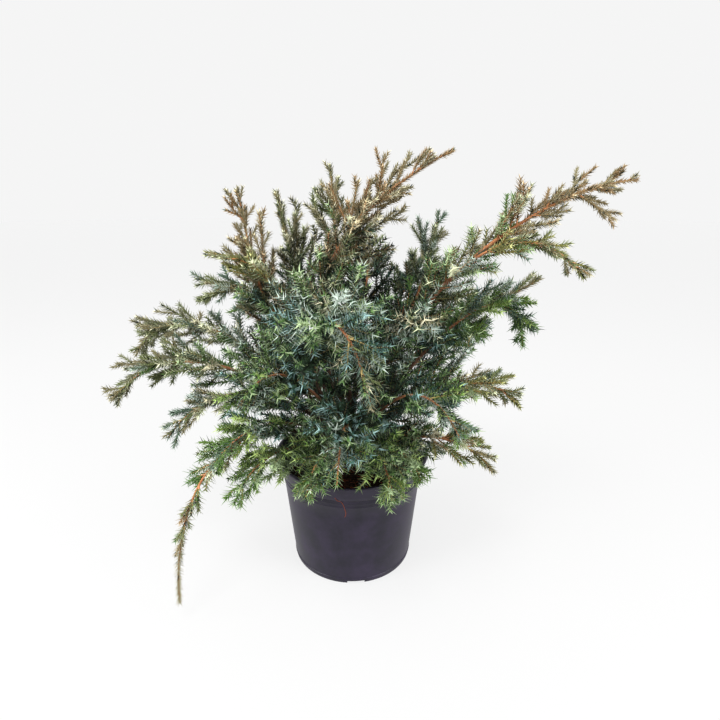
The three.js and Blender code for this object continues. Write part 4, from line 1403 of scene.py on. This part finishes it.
class JUNIPER_OT_twigs(Operator):
    """Make the side shoots and their twiglets"""

    bl_idname = "juniper.twigs"
    bl_label = "Side shoots"

    def execute(self, context):
        tree = twig_tree("twig_sweep", [twig_material(shade) for shade in TWIG_SHADES])
        for name, shoots in (("side_shoots", side_shoots()), ("twiglets", twiglets())):
            share = np.linspace(0, 1, TWIG_STEPS[name] + 1)
            points, _ = shoot_points(shoots, share)
            path = path_mesh(name, [(points, {
                "girth": mix(*TWIG_GIRTHS[name], share) * MM,
                "shade": twig_shade(shoots)[:, None],
            })])
            twigs = made_by_nodes(name, path, tree, {"Sides": TWIG_SIDES[name]})
            smooth_by_angle(twigs.data, TWIG_CREASE)
            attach(twigs, BODY)
        return {"FINISHED"}


# Needles

# The first shade of every kind is a painted shade: a dark green for the inside of the crown
SHADED = "shaded"
# The heart of the crown is an ellipsoid, drawn out towards and away from the viewer, and a
# reach is measured from its middle after the squeeze.
# Needles in and near the heart are painted darker, as painted shade.
HEART_MIDDLE = (0, 0, 285)
HEART_SQUEEZE = (1.2, 0.5, 1.15)
HEART_REACH = 150  # painted shade inside it: darker short whorls and more shaded needles
DARK_REACH = 98  # inside it the inner parts of the shoots are all painted shade
DARK_DEPTH = 0.5  # how far out along a shoot its inner part goes
DARK_TO_TIP = 0.3  # share of the shoots that count as inner up to their tips
ALL_DARK = 1.1  # share of needles painted shade, past 1 so that every draw is under it
# Shares of needles in the painted shade colour, inside the heart and outside it
HEART_DARK = 0.36
OUTER_DARK = 0.08
SHADE_BORDER = (0.15, 0.55)  # where along a limb the inner shades give way to the outer ones
LEADER_FROM = 0.7  # where along a limb its own needles start
LEADER_STEPS = 16
FRONT_REACH = 190  # how far towards the viewer the needles get smaller
FRONT_SIZE = 0.8  # their size there
FRONT_OPEN = 0.6  # how much more open they stand there
FRONT_INNER = 0.5  # how much further in along its limb a shoot counts for its shade there
LEADER_INNER = 0.6
PRESSED_FROM = 0.25  # where along a limb the needles start to lie forward
PRESSED_OVER = 0.4  # and over which share of it they do so
YOUNG_UNTIL = 0.5  # how far pressed the needles of a young shoot are at most
TIP_LENGTH = 0.8  # of the needles at a shoot's tip
NEEDLED_GIRTHS = (0.6, 0.35)  # radius of a needled shoot at its foot and its tip
BARE_FEET = {"side_shoots": 6, "twiglets": 1}
LONGEST_FOOT = 0.3  # share of a shoot without needles at most
NEEDLE_STEPS = {"side_shoots": 8, "twiglets": 4}
# Needles that stand open, inside the crown, and pressed, towards the tips: length, breadth
# and spacing as shares of the settings, and lean at the foot and at the tip of a shoot
OPEN_NEEDLES = (1, 1, 1, 62, 50)
PRESSED_NEEDLES = (0.5, 1.2, 0.8, 48, 32)
STARRY_LIMBS = ("front_high", "front_right_high")  # their needles are open up to the tip


def kind_shades(kind):
    inner, outer = FOLIAGE_KINDS[kind]
    return list(dict.fromkeys((SHADED, *inner, *outer)))


def needle_shade(kind, owner, number, place):
    """The number of the shade that each spray has in its kind's list of shades."""
    seed = shoot_seed(owner, number)
    draw = chance(seed, 2, "needle shade")
    border = mix(*SHADE_BORDER, chance(seed, 3, "shade border"))
    shades = kind_shades(kind)
    inner, outer = (
        np.array([shades.index(shade) for shade in choice])[(draw * len(choice)).astype(int)]
        for choice in FOLIAGE_KINDS[kind]
    )
    return np.where(place < border, inner, outer)


def needle_numbers(pressed, share, size, settings):
    """How long, broad, close and steep the needles are along a shoot."""
    length, breadth, spacing, foot, tip = (
        mix(*pair, pressed) for pair in zip(OPEN_NEEDLES, PRESSED_NEEDLES)
    )
    return {
        "length": settings.needle * length * size * mix(1, TIP_LENGTH, share ** 3),
        "breadth": settings.width * breadth * size,
        "spacing": settings.whorl * spacing * size,
        "lean": np.radians(mix(foot, tip, share)),
    }


def shoot_paths(name, kind, limbs, shoots, settings):
    """The paths of some limbs' shoots with their needles' lengths, leans and shades.

    Inside the crown the needles are long and spread into stars, and along the inner part of a
    shoot near the crown's heart they are painted dark, as painted shade. Towards the limb's tip
    they are short and lie forward.
    """
    own = chosen(shoots, np.isin(shoots.owner, limbs))
    foot = np.minimum(BARE_FEET[name] / own.length, LONGEST_FOOT)[:, None]
    share = mix(foot, 1, np.linspace(0, 1, NEEDLE_STEPS[name] + 1))
    points, _ = shoot_points(own, share)
    front = np.clip(-own.start[:, 1:2] / FRONT_REACH, 0, 1)
    along = (own.place[:, None] - PRESSED_FROM) / PRESSED_OVER
    pressed = TIP_PRESSED[kind] * np.clip(along - FRONT_OPEN * front, 0, 1)
    starry = np.isin([LIMBS[owner].name for owner in own.owner], STARRY_LIMBS)
    pressed = np.where(starry[:, None], 0, pressed)
    shade = needle_shade(kind, own.owner, own.number, own.place - FRONT_INNER * front[:, 0])
    seed = shoot_seed(own.owner, own.number)
    inner = chance(seed, own.depth, "dark to the tip") < DARK_TO_TIP
    depth = np.where(inner[:, None], 0, mix(own.depth[:, None], 1, share))
    reach = np.linalg.norm((points - np.array(HEART_MIDDLE)) * HEART_SQUEEZE, axis=-1)
    # painted shade: inner parts of shoots near the heart get the shaded colour, and inside it
    # more needles do
    dark = (depth < DARK_DEPTH) & (reach < DARK_REACH)
    dark_share = np.where(reach < HEART_REACH, HEART_DARK, OUTER_DARK)
    return points, {
        **needle_numbers(pressed, share, mix(1, FRONT_SIZE, front), settings),
        "girth": mix(*NEEDLED_GIRTHS, share) * MM,
        "young": np.where(pressed < YOUNG_UNTIL, 1.0, 0.0),
        # inside the heart, the short whorls take the back's colour on every face, as painted
        # shade
        "bloomless": np.where(reach < HEART_REACH, 1.0, 0.0),
        "dark share": np.where(dark, ALL_DARK, dark_share),
        "shade": shade[:, None],
    }


def leader_path(kind, index, settings):
    """The last stretch of a limb, with the needles that lie forward to its tip."""
    limb = LIMBS[index]
    share = np.linspace(0, 1, LEADER_STEPS + 1)
    points, _ = limb_path(limb, mix(LEADER_FROM, 1, share))
    foot = mix(limb.girth, TIP_GIRTH, LEADER_FROM)
    front = np.clip(-points[None, :, 1] / FRONT_REACH, 0, 1)
    pressed = TIP_PRESSED[kind] * (1 - FRONT_OPEN * front) * (limb.name not in STARRY_LIMBS)
    place = 1 - LEADER_INNER * front[0]
    return points[None], {
        **needle_numbers(pressed, share, mix(1, FRONT_SIZE, front), settings),
        "girth": mix(foot, TIP_GIRTH, share) * MM,
        "young": 0.0,
        "bloomless": 0.0,
        "dark share": OUTER_DARK,
        "shade": needle_shade(kind, np.array([index]), np.array([0]), place),
    }


class JUNIPER_OT_needles(Operator):
    """Make the needles of every kind of foliage"""

    bl_idname = "juniper.needles"
    bl_label = "Needles"

    def execute(self, context):
        settings = context.scene.juniper_foliage
        groups = {}
        for index, limb in enumerate(LIMBS):
            side = "front" if limb.tip[0] < 0 else "back"
            groups.setdefault((limb.tint, side), []).append(index)
        for (kind, side), limbs in groups.items():
            name = f"needles_{kind}_{side}"
            source = path_mesh(name, [
                shoot_paths("side_shoots", kind, limbs, side_shoots(), settings),
                shoot_paths("twiglets", kind, limbs, twiglets(), settings),
                *(leader_path(kind, index, settings) for index in limbs),
            ])
            materials = [
                needle_material(shade, face) for shade in kind_shades(kind) for face in (0, 1)
            ]
            needles = made_by_nodes(name, source, needle_tree(name, materials), {})
            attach(needles, BODY)
            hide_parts(*(f"foliage_{LIMBS[index].name}" for index in limbs))
        return {"FINISHED"}


# Stage

FLOOR_RADIUS = 12
FLOOR_SEGMENTS = 96
SKY_STRENGTH = 0.93
VIEW_GAMMA = 0.81  # lifts the shadows as the photograph's do
SENSOR_WIDTH = 36
CAMERA_PLACE = (0.010, -0.564, 0.443)
CAMERA_DOWN = 18  # degrees below level
# Lights: name, place and target in metres, width and power in watts
LIGHTS = (
    ("overhead_softbox", (-0.4, -1.0, 2.0), (0, 0, 0.25), 0.9, 30),
    ("left_softbox", (-1.5, -0.7, 0.9), (0, 0, 0.2), 0.9, 22),
    ("right_softbox", (1.4, -0.9, 1.0), (0, 0, 0.2), 0.9, 20),
)


class JUNIPER_OT_stage(Operator):
    """Set the pale floor, the soft lights and the camera at the photograph's angle"""

    bl_idname = "juniper.stage"
    bl_label = "Stage"

    def execute(self, context):
        scene = context.scene
        settings = scene.juniper_stage
        mesh = bmesh.new()
        bmesh.ops.create_circle(
            mesh, cap_ends=True, segments=FLOOR_SEGMENTS, radius=FLOOR_RADIUS,
        )
        floor = new_piece("floor", mesh_data("floor", mesh))
        floor.data.materials.append(floor_material(settings))
        world = bpy.data.worlds.new("studio")
        world.use_nodes = True
        feed(world.node_tree.nodes["Background"], {
            "Color": (1, 1, 1, 1), "Strength": SKY_STRENGTH,
        })
        scene.world = world
        for name, place, target, width, power in LIGHTS:
            lamp = bpy.data.lights.new(name, "AREA")
            lamp.shape, lamp.size, lamp.energy = "DISK", width, power
            light = new_piece(name, lamp)
            light.location = place
            aim = Vector(target) - Vector(place)
            light.rotation_euler = aim.to_track_quat("-Z", "Y").to_euler()
        camera = bpy.data.cameras.new("camera")
        camera.sensor_width, camera.lens = SENSOR_WIDTH, settings.lens
        holder = new_piece("camera", camera)
        holder.location = CAMERA_PLACE
        holder.rotation_euler = Euler((math.radians(90 - CAMERA_DOWN), 0, 0))
        scene.camera = holder
        scene.view_settings.view_transform = "Standard"
        scene.view_settings.gamma = VIEW_GAMMA
        return {"FINISHED"}


# Add-on

STEPS = (
    JUNIPER_OT_pot, JUNIPER_OT_soil, JUNIPER_OT_bark, JUNIPER_OT_twigs, JUNIPER_OT_needles,
    JUNIPER_OT_stage,
)


class JUNIPER_PT_panel(Panel):
    """Lists the pieces of the plant and the stage, with their sizes and colours."""

    bl_label = "Potted juniper"
    bl_idname = "JUNIPER_PT_panel"
    bl_space_type = "VIEW_3D"
    bl_region_type = "UI"
    bl_category = "Juniper"

    def draw(self, context):
        for group in SETTINGS:
            box = self.layout.box()
            values = getattr(context.scene, group)
            for name in values.__annotations__:
                box.prop(values, name)
        for step in STEPS:
            self.layout.operator(step.bl_idname)


SETTINGS = {
    "juniper_pot": PotSettings,
    "juniper_soil": SoilSettings,
    "juniper_bark": BarkSettings,
    "juniper_foliage": FoliageSettings,
    "juniper_stage": StageSettings,
}


def register():
    for group in (*SETTINGS.values(), *STEPS, JUNIPER_PT_panel):
        bpy.utils.register_class(group)
    for name, group in SETTINGS.items():
        setattr(bpy.types.Scene, name, PointerProperty(type=group))


def unregister():
    for name in SETTINGS:
        delattr(bpy.types.Scene, name)
    for group in (JUNIPER_PT_panel, *reversed(STEPS), *SETTINGS.values()):
        bpy.utils.unregister_class(group)


def main():
    register()
    for step in STEPS:
        area, name = step.bl_idname.split(".")
        getattr(getattr(bpy.ops, area), name)()


if __name__ == "__main__":
    main()
